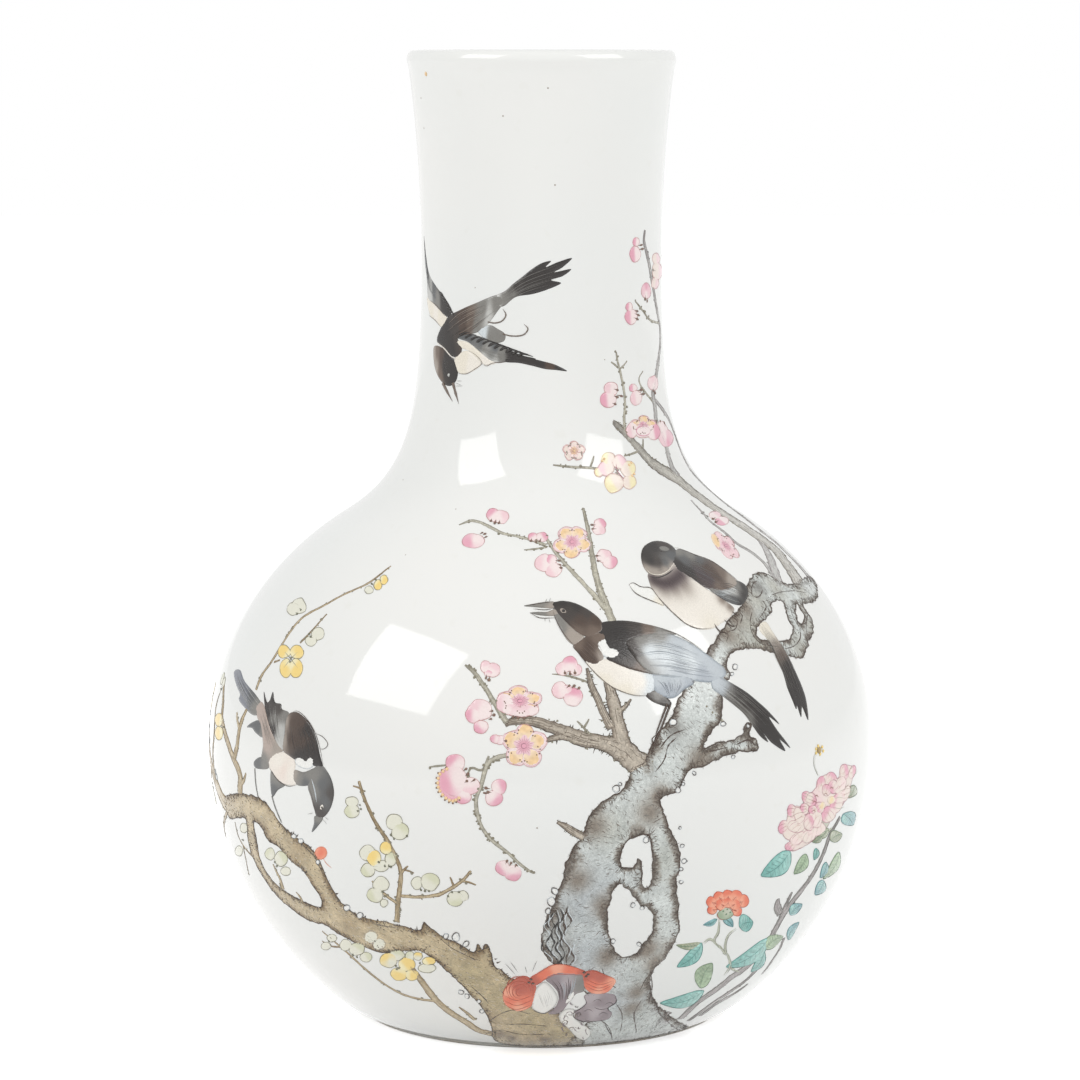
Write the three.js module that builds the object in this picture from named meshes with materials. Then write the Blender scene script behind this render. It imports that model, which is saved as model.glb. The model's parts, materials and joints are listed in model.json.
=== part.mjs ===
// A globular Chinese porcelain bottle vase, built the way it is made: sections thrown on the wheel,
// stacked rim to rim and luted together with thin rings of slip, then set on a turned foot ring.
// Millimetres, +Z up. The origin is the centre of the circle that the foot stands on.
import * as THREE from "three";

// Overall form, outside. Each height above the belly is written as a rise over the one below it.
const bellyRadius = 118.3;
const bellyHeight = 97;
const shoulderRise = 100.5;
const shoulderDepth = 81;
const neckWaistRise = 94;
const neckFlareRise = 68;
const shoulderCurveReach = 28;
const neckCurveReach = 60;
const neckRadius = 42.5;
const mouthRadius = 47.7;

const shoulderTop = bellyHeight + shoulderDepth;
const neckWaistHeight = shoulderTop + neckWaistRise;
const vaseHeight = neckWaistHeight + neckFlareRise;

// Foot ring and base disc. The ring draws in from its top to the narrow band that it rests on.
const footRingHeight = 7;
const footRingTopRadius = 75.4;
const footDrawIn = 11;
const restWidth = 3.8;
const footInnerSlope = 2.6;
const footBevel = 1;
const footSeatWidth = 8.1;
const baseDiscThickness = 5.5;
const baseDiscBevel = 0.8;

const restOuterRadius = footRingTopRadius - footDrawIn;
const restInnerRadius = restOuterRadius - restWidth;
const footInnerRadius = restInnerRadius - footInnerSlope;

// Walls of the thrown sections
const bellyWall = 5;
const shoulderWall = 4.6;
const neckWall = 4.6;

// Mouth rim
const rimHeight = 8;
const lipRounding = 1.6;

// Slip joints between the sections
const slipThickness = 0.8;
const neckJointRise = 26;
const beadHalfHeight = 3;
const beadStand = 1.6;
const fitClearance = 0.3;

// Fineness of the faceted solids
const turns = 60;
const curveSamples = 240;

const porcelain = { color: 0xe9eae6, roughness: 0.08, metalness: 0 };
const biscuit = { color: 0xd9c9ae, roughness: 0.75, metalness: 0 };
const slip = { color: 0xe3e0d6, roughness: 0.35, metalness: 0 };

const point = (radius, height) => new THREE.Vector2(radius, height);

// Half height of an ellipse that is `reach` wide at its middle and passes `across` wide at `drop` from it
function ellipseHalfHeight(reach, across, drop) {
  return drop / Math.sqrt(1 - (across / reach) ** 2);
}

// The outside of the pot from the top of the foot ring to the mouth, as a fine polyline rising in z
function outsideCurve() {
  const points = [];
  const bodyDrop = ellipseHalfHeight(bellyRadius, footRingTopRadius, bellyHeight - footRingHeight);
  const footAngle = Math.acos(footRingTopRadius / bellyRadius);
  for (let i = 0; i < curveSamples; i++) {
    const angle = footAngle * (1 - i / curveSamples);
    points.push(point(bellyRadius * Math.cos(angle), bellyHeight - bodyDrop * Math.sin(angle)));
  }
  const shoulderAngle = Math.asin((shoulderTop - bellyHeight) / shoulderRise);
  for (let i = 0; i < curveSamples; i++) {
    const angle = (shoulderAngle * i) / curveSamples;
    points.push(point(bellyRadius * Math.cos(angle), bellyHeight + shoulderRise * Math.sin(angle)));
  }
  const start = point(bellyRadius * Math.cos(shoulderAngle), shoulderTop);
  const heading = point(-bellyRadius * Math.sin(shoulderAngle), shoulderRise * Math.cos(shoulderAngle));
  const leaving = start.clone().add(heading.normalize().multiplyScalar(shoulderCurveReach));
  const waist = point(neckRadius, neckWaistHeight);
  const arriving = point(neckRadius, neckWaistHeight - neckCurveReach);
  points.push(...new THREE.CubicBezierCurve(start, leaving, arriving, waist).getPoints(curveSamples));
  const flare = point(neckRadius, (neckWaistHeight + vaseHeight) / 2);
  const mouth = point(mouthRadius, vaseHeight);
  points.push(...new THREE.QuadraticBezierCurve(waist, flare, mouth).getPoints(curveSamples).slice(1));
  return points;
}

// Wall thickness at a height: the belly's, thinning to the shoulder's and then the neck's
function wallAt(height) {
  if (height < shoulderTop) {
    const share = (height - bellyHeight) / (shoulderTop - bellyHeight);
    return THREE.MathUtils.lerp(bellyWall, shoulderWall, share);
  }
  const share = (height - shoulderTop) / (neckWaistHeight - shoulderTop);
  return THREE.MathUtils.lerp(shoulderWall, neckWall, Math.min(1, share));
}

const baseTop = footRingHeight + baseDiscThickness;
const wellRadius = footRingTopRadius - footSeatWidth;
const baseDiscRadius = wellRadius - fitClearance;

// The inside of the pot above the base disc: an elliptical bowl, then the outside moved in by the wall
function insideCurve(outside) {
  const points = [];
  const reach = bellyRadius - bellyWall;
  const bowlDrop = ellipseHalfHeight(reach, wellRadius, bellyHeight - baseTop);
  const wellAngle = Math.acos(wellRadius / reach);
  for (let i = 0; i < curveSamples; i++) {
    const angle = wellAngle * (1 - i / curveSamples);
    points.push(point(reach * Math.cos(angle), bellyHeight - bowlDrop * Math.sin(angle)));
  }
  for (let i = 1; i < outside.length; i++) {
    if (outside[i].y < bellyHeight) continue;
    const along = outside[i].clone().sub(outside[i - 1]).normalize();
    const inward = point(-along.y, along.x).multiplyScalar(wallAt(outside[i].y));
    points.push(outside[i].clone().add(inward));
  }
  points.push(point(points.at(-1).x, vaseHeight));
  return points.filter((p, i) => i === 0 || p.y > points[i - 1].y);
}

function radiusAt(curve, height) {
  const above = curve.findIndex((p) => p.y >= height);
  if (above <= 0) return curve[0].x;
  const [low, high] = [curve[above - 1], curve[above]];
  return THREE.MathUtils.lerp(low.x, high.x, (height - low.y) / (high.y - low.y));
}

// Points of a curve between two heights, evenly spaced along it, with both ends exactly at those heights
function stretch(curve, from, to, steps) {
  const kept = curve.filter((p) => p.y > from && p.y < to);
  const line = [point(radiusAt(curve, from), from), ...kept, point(radiusAt(curve, to), to)];
  const lengths = [0];
  for (let i = 1; i < line.length; i++) lengths.push(lengths[i - 1] + line[i].distanceTo(line[i - 1]));
  const total = lengths.at(-1);
  const points = [line[0]];
  for (let k = 1; k < steps; k++) {
    const target = (total * k) / steps;
    const j = lengths.findIndex((length) => length >= target);
    const share = (target - lengths[j - 1]) / (lengths[j] - lengths[j - 1]);
    points.push(line[j - 1].clone().lerp(line[j], share));
  }
  points.push(line.at(-1));
  return points;
}

const outside = outsideCurve();
const inside = insideCurve(outside);

// Turns a profile, given clockwise seen with the axis on the left, into a named solid of revolution
function turned(name, profile, finish) {
  const geometry = new THREE.LatheGeometry(profile, turns);
  geometry.rotateX(Math.PI / 2);
  const mesh = new THREE.Mesh(geometry, new THREE.MeshStandardMaterial(finish));
  mesh.name = name;
  return mesh;
}

const closed = (points) => [...points, points[0]];

// A quarter circle of the lip, from one angle to another about a centre
function lipArc(centreRadius, centreHeight, fromAngle, toAngle) {
  const steps = 3;
  return Array.from({ length: steps + 1 }, (_, i) => {
    const angle = THREE.MathUtils.lerp(fromAngle, toAngle, i / steps);
    return point(centreRadius + lipRounding * Math.cos(angle), centreHeight + lipRounding * Math.sin(angle));
  });
}

// One thrown section between two heights: up the outside, then down the inside
function section(name, from, to, outsideSteps, insideSteps) {
  const up = stretch(outside, from, to, outsideSteps);
  const down = stretch(inside, from, to, insideSteps).reverse();
  return turned(name, closed([...up, ...down]), porcelain);
}

// A ring of slip between two sections, with the smoothed bead that it leaves on the inner wall
function slipJoint(name, from) {
  const to = from + slipThickness;
  const middle = (from + to) / 2;
  const foot = middle - beadHalfHeight;
  const head = middle + beadHalfHeight;
  const wallFace = (height) => radiusAt(inside, height) - fitClearance;
  const profile = [
    point(radiusAt(outside, from), from),
    point(radiusAt(outside, to), to),
    point(wallFace(to), to),
    point(wallFace(head), head),
    point(wallFace(middle) - beadStand, middle),
    point(wallFace(foot), foot),
    point(wallFace(from), from),
  ];
  return turned(name, closed(profile), slip);
}

function footRing() {
  const top = footRingHeight;
  const profile = [
    point(restInnerRadius, 0),
    point(restOuterRadius, 0),
    point(restOuterRadius + footBevel, footBevel),
    point((restOuterRadius + footRingTopRadius) / 2 + footBevel, top / 2),
    point(footRingTopRadius, top),
    point(footInnerRadius, top),
    point(footInnerRadius, footBevel * 2),
  ];
  return turned("foot_ring", closed(profile), biscuit);
}

function baseDisc() {
  const profile = [
    point(0, footRingHeight),
    point(baseDiscRadius, footRingHeight),
    point(baseDiscRadius, baseTop - baseDiscBevel),
    point(baseDiscRadius - baseDiscBevel, baseTop),
    point(0, baseTop),
  ];
  return turned("base_disc", profile, porcelain);
}

// The slip that sets the body on the foot ring, outside the base disc
function footJoint() {
  const [from, to] = [footRingHeight, footRingHeight + slipThickness];
  const profile = [
    point(wellRadius, from),
    point(radiusAt(outside, from), from),
    point(radiusAt(outside, to), to),
    point(wellRadius, to),
  ];
  return turned("foot_joint", closed(profile), slip);
}

// The lower bowl stands on the foot's slip and surrounds the base disc
function lowerBody() {
  const from = footRingHeight + slipThickness;
  const up = stretch(outside, from, bellyHeight, 11);
  const down = stretch(inside, baseTop, bellyHeight, 9).reverse();
  return turned("lower_body", closed([...up, ...down, point(wellRadius, from)]), porcelain);
}

function mouthRim() {
  const from = vaseHeight - rimHeight;
  const bend = vaseHeight - lipRounding;
  const outer = radiusAt(outside, bend);
  const inner = radiusAt(inside, bend);
  const profile = [
    point(radiusAt(outside, from), from),
    ...lipArc(outer - lipRounding, bend, 0, Math.PI / 2),
    ...lipArc(inner + lipRounding, bend, Math.PI / 2, Math.PI),
    point(radiusAt(inside, from), from),
  ];
  return turned("mouth_rim", closed(profile), porcelain);
}

const upperStart = bellyHeight + slipThickness;
const neckJointHeight = shoulderTop + neckJointRise;
const neckStart = neckJointHeight + slipThickness;

const vase = new THREE.Group();
vase.add(
  footRing(),
  baseDisc(),
  footJoint(),
  lowerBody(),
  slipJoint("belly_joint", bellyHeight),
  section("upper_body", upperStart, neckJointHeight, 13, 11),
  slipJoint("neck_joint", neckJointHeight),
  section("neck", neckStart, vaseHeight - rimHeight, 10, 8),
  mouthRim(),
);

export default vase;
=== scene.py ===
# %% [markdown]
# A globular Chinese bottle vase in white porcelain, painted over the glaze in famille rose enamels:
# magpies on a flowering plum tree, winter plum, a sprig of fungus and garden flowers at its foot.
# The pot is thrown, glazed and fired first. The painter then lays thin glassy colours on the finished
# glaze, and a second, cooler firing melts them on. The script keeps that order: pot, glaze, painting.

# %% The frame
import json
import math
import re

import bpy
import numpy as np
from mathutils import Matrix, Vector, geometry
from mathutils.noise import noise as value_noise

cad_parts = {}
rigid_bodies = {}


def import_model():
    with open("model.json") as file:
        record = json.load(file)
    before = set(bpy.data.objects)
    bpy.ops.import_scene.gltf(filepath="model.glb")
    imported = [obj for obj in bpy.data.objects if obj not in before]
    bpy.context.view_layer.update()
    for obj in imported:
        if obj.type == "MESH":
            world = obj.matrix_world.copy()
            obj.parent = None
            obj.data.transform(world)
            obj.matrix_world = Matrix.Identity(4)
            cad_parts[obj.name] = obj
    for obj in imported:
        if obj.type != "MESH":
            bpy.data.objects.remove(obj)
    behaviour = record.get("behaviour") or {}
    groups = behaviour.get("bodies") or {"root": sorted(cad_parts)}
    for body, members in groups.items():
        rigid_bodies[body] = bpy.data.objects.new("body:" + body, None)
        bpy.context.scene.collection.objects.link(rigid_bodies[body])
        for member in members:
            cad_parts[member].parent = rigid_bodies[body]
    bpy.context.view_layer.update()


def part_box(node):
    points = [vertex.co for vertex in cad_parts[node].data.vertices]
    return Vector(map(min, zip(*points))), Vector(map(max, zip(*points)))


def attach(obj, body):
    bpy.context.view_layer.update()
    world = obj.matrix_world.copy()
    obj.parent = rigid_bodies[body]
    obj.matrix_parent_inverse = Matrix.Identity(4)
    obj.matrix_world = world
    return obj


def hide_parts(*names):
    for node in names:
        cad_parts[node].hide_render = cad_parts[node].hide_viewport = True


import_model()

# %% [markdown]
# The photograph was taken with a long lens about four heights away, with the camera level with the
# rim and tipped down a little. A long lens keeps the sides of the neck nearly parallel. The same
# numbers are used again later, to carry places in the picture onto the pot.

# %% The camera
photo_side = 1080
sensor_mm = 36
focal_pixels = 3870
camera_place = np.array((-0.0005, -1.360, 0.346))
camera_tilt = math.radians(7.47)

camera = bpy.data.objects.new("camera", bpy.data.cameras.new("camera"))
bpy.context.scene.collection.objects.link(camera)
camera.location = camera_place
camera.rotation_euler = (math.pi / 2 - camera_tilt, 0, 0)
camera.data.sensor_width = sensor_mm
camera.data.lens = focal_pixels / photo_side * sensor_mm
bpy.context.scene.camera = camera
print("lens in mm:", camera.data.lens)

# %% [markdown]
# The outside of the pot is a low foot, an elliptical bowl, an elliptical shoulder, a hollow curve up
# to the neck's waist, and a slight flare to the mouth. It could be drawn freehand, but a potter's
# curve is a few smooth arcs, so it is written as those. The main sizes are read from the CAD pieces.
# Those are measured over the painting, so the glaze lies a fifth of a millimetre inside them.

# %% The outline of the pot, in millimetres
enamel_room = 0.2


def highest(name):
    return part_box(name)[1] * 1000


foot_height = highest("foot_ring").z
foot_radius = highest("foot_ring").x - enamel_room
belly_radius = highest("lower_body").x - enamel_room
belly_height = highest("lower_body").z
base_top = highest("base_disc").z
vase_height = highest("mouth_rim").z
mouth_radius = highest("mouth_rim").x - enamel_room
shoulder_rise = 100.5
shoulder_top = belly_height + 81
shoulder_reach = 28
neck_reach = 60
neck_radius = 42.5 - enamel_room
neck_waist = shoulder_top + 94
rest_outer = foot_radius - 11
rest_inner = rest_outer - 3.8
foot_inner = rest_inner - 2.6
glaze_edge = 1.0


def bezier(points, share):
    points = [np.array(point, float) for point in points]
    share = share[:, None]
    while len(points) > 1:
        points = [a * (1 - share) + b * share for a, b in zip(points, points[1:])]
    return points[0]


def outside_outline(steps=160):
    share = np.linspace(0, 1, steps)
    foot_middle = ((rest_outer + foot_radius) / 2 + 1, foot_height / 2)
    foot = bezier([(rest_outer + 1, glaze_edge), foot_middle, (foot_radius, foot_height)], share[::16])
    drop = (belly_height - foot_height) / math.sqrt(1 - (foot_radius / belly_radius) ** 2)
    angle = math.acos(foot_radius / belly_radius) * (1 - share)
    bowl = np.c_[belly_radius * np.cos(angle), belly_height - drop * np.sin(angle)]
    top = math.asin((shoulder_top - belly_height) / shoulder_rise)
    angle = top * share
    dome = np.c_[belly_radius * np.cos(angle), belly_height + shoulder_rise * np.sin(angle)]
    heading = np.array([-belly_radius * math.sin(top), shoulder_rise * math.cos(top)])
    leaving = dome[-1] + heading / np.linalg.norm(heading) * shoulder_reach
    waist = (neck_radius, neck_waist)
    root = bezier([dome[-1], leaving, (neck_radius, neck_waist - neck_reach), waist], share)
    flare = (neck_radius, (neck_waist + vase_height) / 2)
    flare = bezier([waist, flare, (mouth_radius, vase_height)], share)
    return np.vstack([foot, bowl[1:], dome[1:], root[1:], flare[1:]])


outline = outside_outline()
rises = np.r_[0, np.cumsum(np.linalg.norm(np.diff(outline, axis=0), axis=1))]
print("outline points:", len(outline), "length over the surface in mm:", round(rises[-1], 1))

# %% [markdown]
# The inside follows the outside at the wall's thickness, down to a flat floor. The lip is a soft
# roll: a fired edge is never sharp, and this one swells a little before it turns over.

# %% The whole profile of the glazed pot
belly_wall = 5
shoulder_wall = 4.6
lip_width = 2.2
lip_drop = 3.4
lip_inner_drop = 2
lip_swell = 0.25
well_radius = foot_radius - 8.1
floor_round = 1.1


def inside_outline(steps=100):
    reach = belly_radius - belly_wall
    drop = (belly_height - base_top) / math.sqrt(1 - (well_radius / reach) ** 2)
    angle = math.acos(well_radius / reach) * (1 - np.linspace(0, 1, steps))
    bowl = np.c_[reach * np.cos(angle), belly_height - drop * np.sin(angle)]
    upper = outline[outline[:, 1] > belly_height]
    along = np.gradient(upper, axis=0)
    along /= np.linalg.norm(along, axis=1)[:, None]
    wall = np.interp(upper[:, 1], [belly_height, shoulder_top], [belly_wall, shoulder_wall])
    inner = upper + np.c_[-along[:, 1], along[:, 0]] * wall[:, None]
    return np.vstack([bowl, inner[inner[:, 1] > belly_height + 1]])


def arc(centre, reach, rise, start, end, steps=9):
    angle = np.radians(np.linspace(start, end, steps))
    return np.c_[centre[0] + reach * np.cos(angle), centre[1] + rise * np.sin(angle)]


def pot_profile():
    inside = inside_outline()
    outer = outline[outline[:, 1] < vase_height - lip_drop].copy()
    below_lip = (vase_height - outer[:, 1]) / lip_drop
    outer[:, 0] += lip_swell * np.exp(-(below_lip - 1) ** 2 * 3)
    inner = inside[inside[:, 1] < vase_height - lip_inner_drop]
    over = arc((outer[-1, 0] - lip_width, vase_height - lip_drop), lip_width, lip_drop, 0, 90)
    under = arc((inner[-1, 0] + lip_width, vase_height - lip_inner_drop), lip_width, lip_inner_drop, 90, 180)
    floor = [(well_radius - floor_round, base_top), (0, base_top)]
    base = [(0, foot_height), (foot_inner + 0.6, foot_height), (foot_inner + 0.2, foot_height - 1),
            (foot_inner + 0.2, 2.4), (rest_inner - 0.2, glaze_edge)]
    return np.vstack([base, outer[::4], over, under, inner[::-6], floor])


profile = pot_profile()
print("profile points:", len(profile), "highest:", profile[:, 1].max(), "widest:", profile[:, 0].max())

# %% [markdown]
# A pot is thrown on a wheel, so Geometry Nodes turn it too: the profile is swept along a very small
# circle, which is the same as turning it about the axis. Spinning it in mesh code would give the same
# shape, but as a node tree the number of turns is a plain named input. The points on the axis fall
# together and are merged, which closes the poles.

# %% A lathe made of nodes
rail_radius = 0.001


def node(tree, kind, **settings):
    made = tree.nodes.new(kind)
    for name, value in settings.items():
        setattr(made, name, value)
    return made


def wire(tree, *links):
    """Joins outputs to inputs."""
    for output, entry in links:
        tree.links.new(output, entry)


def group(name, **inputs):
    """A node group with a geometry input, the named inputs after it and a geometry output."""
    tree = bpy.data.node_groups.new(name, "GeometryNodeTree")
    tree.interface.new_socket("Geometry", in_out="INPUT", socket_type="NodeSocketGeometry")
    sockets = {key: tree.interface.new_socket(key, in_out="INPUT", socket_type=kind).identifier
               for key, kind in inputs.items()}
    tree.interface.new_socket("Geometry", in_out="OUTPUT", socket_type="NodeSocketGeometry")
    return tree, sockets, node(tree, "NodeGroupInput")


def finished(tree, given, made):
    """Ends a tree: single meshes, smooth faces and the finish."""
    smooth = node(tree, "GeometryNodeSetShadeSmooth")
    single = node(tree, "GeometryNodeRealizeInstances")
    finish = node(tree, "GeometryNodeSetMaterial")
    wire(tree, (made, smooth.inputs["Geometry"]), (smooth.outputs["Geometry"], single.inputs["Geometry"]),
        (single.outputs["Geometry"], finish.inputs["Geometry"]),
        (given.outputs["Finish"], finish.inputs["Material"]),
        (finish.outputs["Geometry"], node(tree, "NodeGroupOutput").inputs["Geometry"]))


def lathe_tree():
    tree, sockets, given = group("lathe", Turns="NodeSocketInt", Finish="NodeSocketMaterial")
    line = node(tree, "GeometryNodeMeshToCurve")
    rail = node(tree, "GeometryNodeCurvePrimitiveCircle")
    rail.inputs["Radius"].default_value = rail_radius
    sweep = node(tree, "GeometryNodeCurveToMesh")
    weld = node(tree, "GeometryNodeMergeByDistance")
    weld.inputs["Distance"].default_value = 1e-6
    wire(tree, (given.outputs["Geometry"], line.inputs["Mesh"]),
        (given.outputs["Turns"], rail.inputs["Resolution"]), (rail.outputs["Curve"], sweep.inputs["Curve"]),
        (line.outputs["Curve"], sweep.inputs["Profile Curve"]),
        (sweep.outputs["Mesh"], weld.inputs["Geometry"]))
    finished(tree, given, weld.outputs["Geometry"])
    return tree, sockets


def linked(name, mesh):
    piece = bpy.data.objects.new(name, mesh)
    bpy.context.scene.collection.objects.link(piece)
    return piece


def baked(piece, tree, settings):
    """Runs a node tree on a piece and leaves its result as a plain mesh."""
    modifier = piece.modifiers.new("nodes", "NODES")
    modifier.node_group = tree
    for identifier, value in settings.items():
        modifier[identifier] = value
    graph = bpy.context.evaluated_depsgraph_get()
    result = bpy.data.meshes.new_from_object(piece.evaluated_get(graph))
    piece.modifiers.clear()
    piece.data = result
    result.name = piece.name
    if volume(result) < 0:
        result.flip_normals()
    return piece


def volume(mesh):
    mesh.calc_loop_triangles()
    corners = np.zeros(len(mesh.vertices) * 3)
    mesh.vertices.foreach_get("co", corners)
    triangles = np.zeros(len(mesh.loop_triangles) * 3, int)
    mesh.loop_triangles.foreach_get("vertices", triangles)
    three = corners.reshape(-1, 3)[triangles.reshape(-1, 3)]
    return float(np.einsum("ij,ij->i", three[:, 0], np.cross(three[:, 1], three[:, 2])).sum() / 6)


lathe, lathe_sockets = lathe_tree()


def turned(name, line, turns, finish):
    points = [(radius / 1000 - rail_radius, -height / 1000, 0) for radius, height in line]
    mesh = bpy.data.meshes.new(name)
    mesh.from_pydata(points, [(i, i + 1) for i in range(len(points) - 1)], [])
    settings = {lathe_sockets["Turns"]: turns, lathe_sockets["Finish"]: finish}
    piece = baked(linked(name, mesh), lathe, settings)
    print(name, "faces:", len(piece.data.polygons), "litres:", round(volume(piece.data) * 1000, 3))
    return piece


# %% [markdown]
# Colours are written as they look on a screen, from 0 to 255, and turned into the linear values that
# light adds up in. Porcelain glaze is a clear glass over a white body, so a principled shader with a
# low roughness gives its gloss. Real glaze is never quite even: it has a faint cloudiness, and a
# long, shallow ripple that bends the reflections a little.

# %% The glaze
def linear(colour):
    shown = np.array(colour, float) / 255
    return np.where(shown <= 0.04045, shown / 12.92, ((shown + 0.055) / 1.055) ** 2.4)


def opaque(colour):
    return (*linear(colour), 1)


def plain_finish(name, colour, roughness):
    made = bpy.data.materials.new(name)
    made.use_nodes = True
    shader = made.node_tree.nodes["Principled BSDF"]
    shader.inputs["Base Color"].default_value = opaque(colour)
    shader.inputs["Roughness"].default_value = roughness
    return made, made.node_tree, shader


def noise(tree, scale, detail=2.0):
    place = node(tree, "ShaderNodeTexCoord")
    cloud = node(tree, "ShaderNodeTexNoise")
    cloud.inputs["Scale"].default_value = scale
    cloud.inputs["Detail"].default_value = detail
    tree.links.new(place.outputs["Object"], cloud.inputs["Vector"])
    return cloud.outputs["Fac"]


def mixed(tree, factor, first, second, mode="MIX"):
    mix = node(tree, "ShaderNodeMix", data_type="RGBA", blend_type=mode)
    for socket, value in ((mix.inputs[0], factor), (mix.inputs[6], first), (mix.inputs[7], second)):
        if isinstance(value, bpy.types.NodeSocket):
            tree.links.new(value, socket)
        else:
            socket.default_value = value
    return mix.outputs[2]


def spread(tree, source, low, high, to_low, to_high):
    ramp = node(tree, "ShaderNodeMapRange")
    for name, value in (("From Min", low), ("From Max", high), ("To Min", to_low), ("To Max", to_high)):
        ramp.inputs[name].default_value = value
    tree.links.new(source, ramp.inputs["Value"])
    return ramp.outputs["Result"]


def bumped(tree, shader, height, strength, distance):
    bump = node(tree, "ShaderNodeBump")
    bump.inputs["Strength"].default_value = strength
    bump.inputs["Distance"].default_value = distance
    wire(tree, (height, bump.inputs["Height"]), (bump.outputs["Normal"], shader.inputs["Normal"]))


white_glaze = (237, 237, 234)


def glaze_finish():
    made, tree, shader = plain_finish("clear_glaze_over_white", white_glaze, 0.06)
    cloud = spread(tree, noise(tree, 9), 0.35, 0.7, 0, 1)
    fleck = spread(tree, noise(tree, 160), 0.66, 0.85, 0, 0.3)
    milky = mixed(tree, cloud, opaque(white_glaze), opaque((233, 235, 233)))
    tree.links.new(mixed(tree, fleck, milky, opaque((226, 225, 217))), shader.inputs["Base Color"])
    bumped(tree, shader, noise(tree, 22, 1), 0.2, 0.0006)
    return made


def biscuit_finish():
    made, tree, shader = plain_finish("bare_foot_rim", (230, 227, 220), 0.75)
    grain = noise(tree, 900, 4)
    blush = spread(tree, noise(tree, 40), 0.4, 0.65, 0, 1)
    toned = mixed(tree, blush, opaque((234, 232, 226)), opaque((222, 213, 198)))
    tree.links.new(toned, shader.inputs["Base Color"])
    bumped(tree, shader, grain, 0.6, 0.0002)
    return made


pot_turns = 288
pot = turned("glazed_pot", profile, pot_turns, glaze_finish())
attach(pot, "root")
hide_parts("lower_body", "belly_joint", "upper_body", "neck_joint", "neck", "mouth_rim",
            "foot_joint", "base_disc")

# %% [markdown]
# The glaze is wiped off the narrow band that the pot stands on, or it would stick to the kiln shelf.
# That band is bare porcelain, burnt a little orange where the glaze ends.

# %% The bare foot rim
rim_turns = 192
rim_profile = [(rest_inner - 0.7, glaze_edge + 0.8), (rest_inner - 0.5, glaze_edge - 0.2), (rest_inner, 0),
               (rest_outer, 0), (rest_outer + 0.9, glaze_edge), (rest_outer + 0.4, glaze_edge + 0.8),
               (rest_inner - 0.7, glaze_edge + 0.8)]
foot_rim = turned("bare_foot_rim", rim_profile, rim_turns, biscuit_finish())
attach(foot_rim, "root")
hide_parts("foot_ring")

# %% [markdown]
# The painting is planned on the pot's surface as if it were unrolled: across is the distance round
# the belly in mm, and up is the distance over the surface in mm. A place in the photograph is carried
# there by following the camera's line of sight to the pot. Everything painted is then built on the
# real surface, so it lies right from any side.

# %% From the photograph to the pot
tilt_cos, tilt_sin = math.cos(camera_tilt), math.sin(camera_tilt)
ahead = np.array((0, tilt_cos, -tilt_sin))
above = np.array((0, tilt_sin, tilt_cos))
beside = np.array((1, 0, 0))


def radius_over(rise):
    return np.interp(rise, rises, outline[:, 0])


def height_over(rise):
    return np.interp(rise, rises, outline[:, 1])


painted_side = {"around": 0.0}


def at(text):
    """Places as a drawing file writes them: numbers joined by commas, and places parted by spaces."""
    return [tuple(float(x) if "." in x else int(x) for x in place.split(",")) for place in text.split()]


def paths(text):
    """Several rows of places, parted by slashes."""
    return [at(path) for path in text.split("/")]


def named(text):
    """The places that are written after each name."""
    return {name: at(places) for name, places in re.findall("([a-z_]+)([^a-z]+)", text)}


def seen(pixels):
    """Where pixels of the photograph fall on the unrolled surface, on the side that is being painted."""
    pixels = at(pixels) if isinstance(pixels, str) else pixels
    pixels = np.array(pixels, float).reshape(-1, 2)
    off = (pixels - photo_side / 2) / focal_pixels
    sight = ahead + beside * off[:, :1] - above * off[:, 1:]
    reach = np.arange(1.2, 1.42, 0.0005)
    points = camera_place + sight[:, None, :] * reach[:, None]
    gap = np.hypot(points[..., 0], points[..., 1]) * 1000
    gap -= np.interp(points[..., 2] * 1000, outline[:, 1], outline[:, 0])
    inside = gap < 0
    first = np.where(inside.any(axis=1), inside.argmax(axis=1), gap.argmin(axis=1))
    rows = np.arange(len(pixels))
    before = np.maximum(first - 1, 0)
    change = gap[rows, before] - gap[rows, first]
    share = np.where(inside.any(axis=1), gap[rows, before] / np.where(change == 0, 1, change), 1)
    place = points[rows, before] * (1 - share[:, None]) + points[rows, first] * share[:, None]
    across = np.arctan2(place[:, 0], -place[:, 1]) * belly_radius + painted_side["around"]
    return np.c_[across, np.interp(place[:, 2] * 1000, outline[:, 1], rises)]


def facing(places):
    """Which way the surface faces at places of the unrolled surface."""
    angle = places[:, 0] / belly_radius
    out = height_over(places[:, 1] + 0.5) - height_over(places[:, 1] - 0.5)
    up = radius_over(places[:, 1] - 0.5) - radius_over(places[:, 1] + 0.5)
    length = np.hypot(out, up)
    return np.c_[out * np.sin(angle), -out * np.cos(angle), up] / length[:, None]


def on_pot(places, lift):
    """Points in metres over places of the unrolled surface, lifted by mm."""
    angle, radius = places[:, 0] / belly_radius, radius_over(places[:, 1])
    flat = np.c_[radius * np.sin(angle), -radius * np.cos(angle), height_over(places[:, 1])]
    return (flat + facing(places) * np.broadcast_to(lift, len(places))[:, None]) / 1000


def stretched(rise):
    """How much wider a mm is on the unrolled sheet than on the pot at this rise."""
    return belly_radius / radius_over(rise)


def widened(path):
    """How the unrolled sheet is stretched where a path lies, across and up."""
    return np.array((stretched(np.asarray(path)[:, 1].mean()), 1))


print("the photo's middle falls at", seen([(540, 740)])[0].round(1), "on the unrolled surface")

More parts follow.
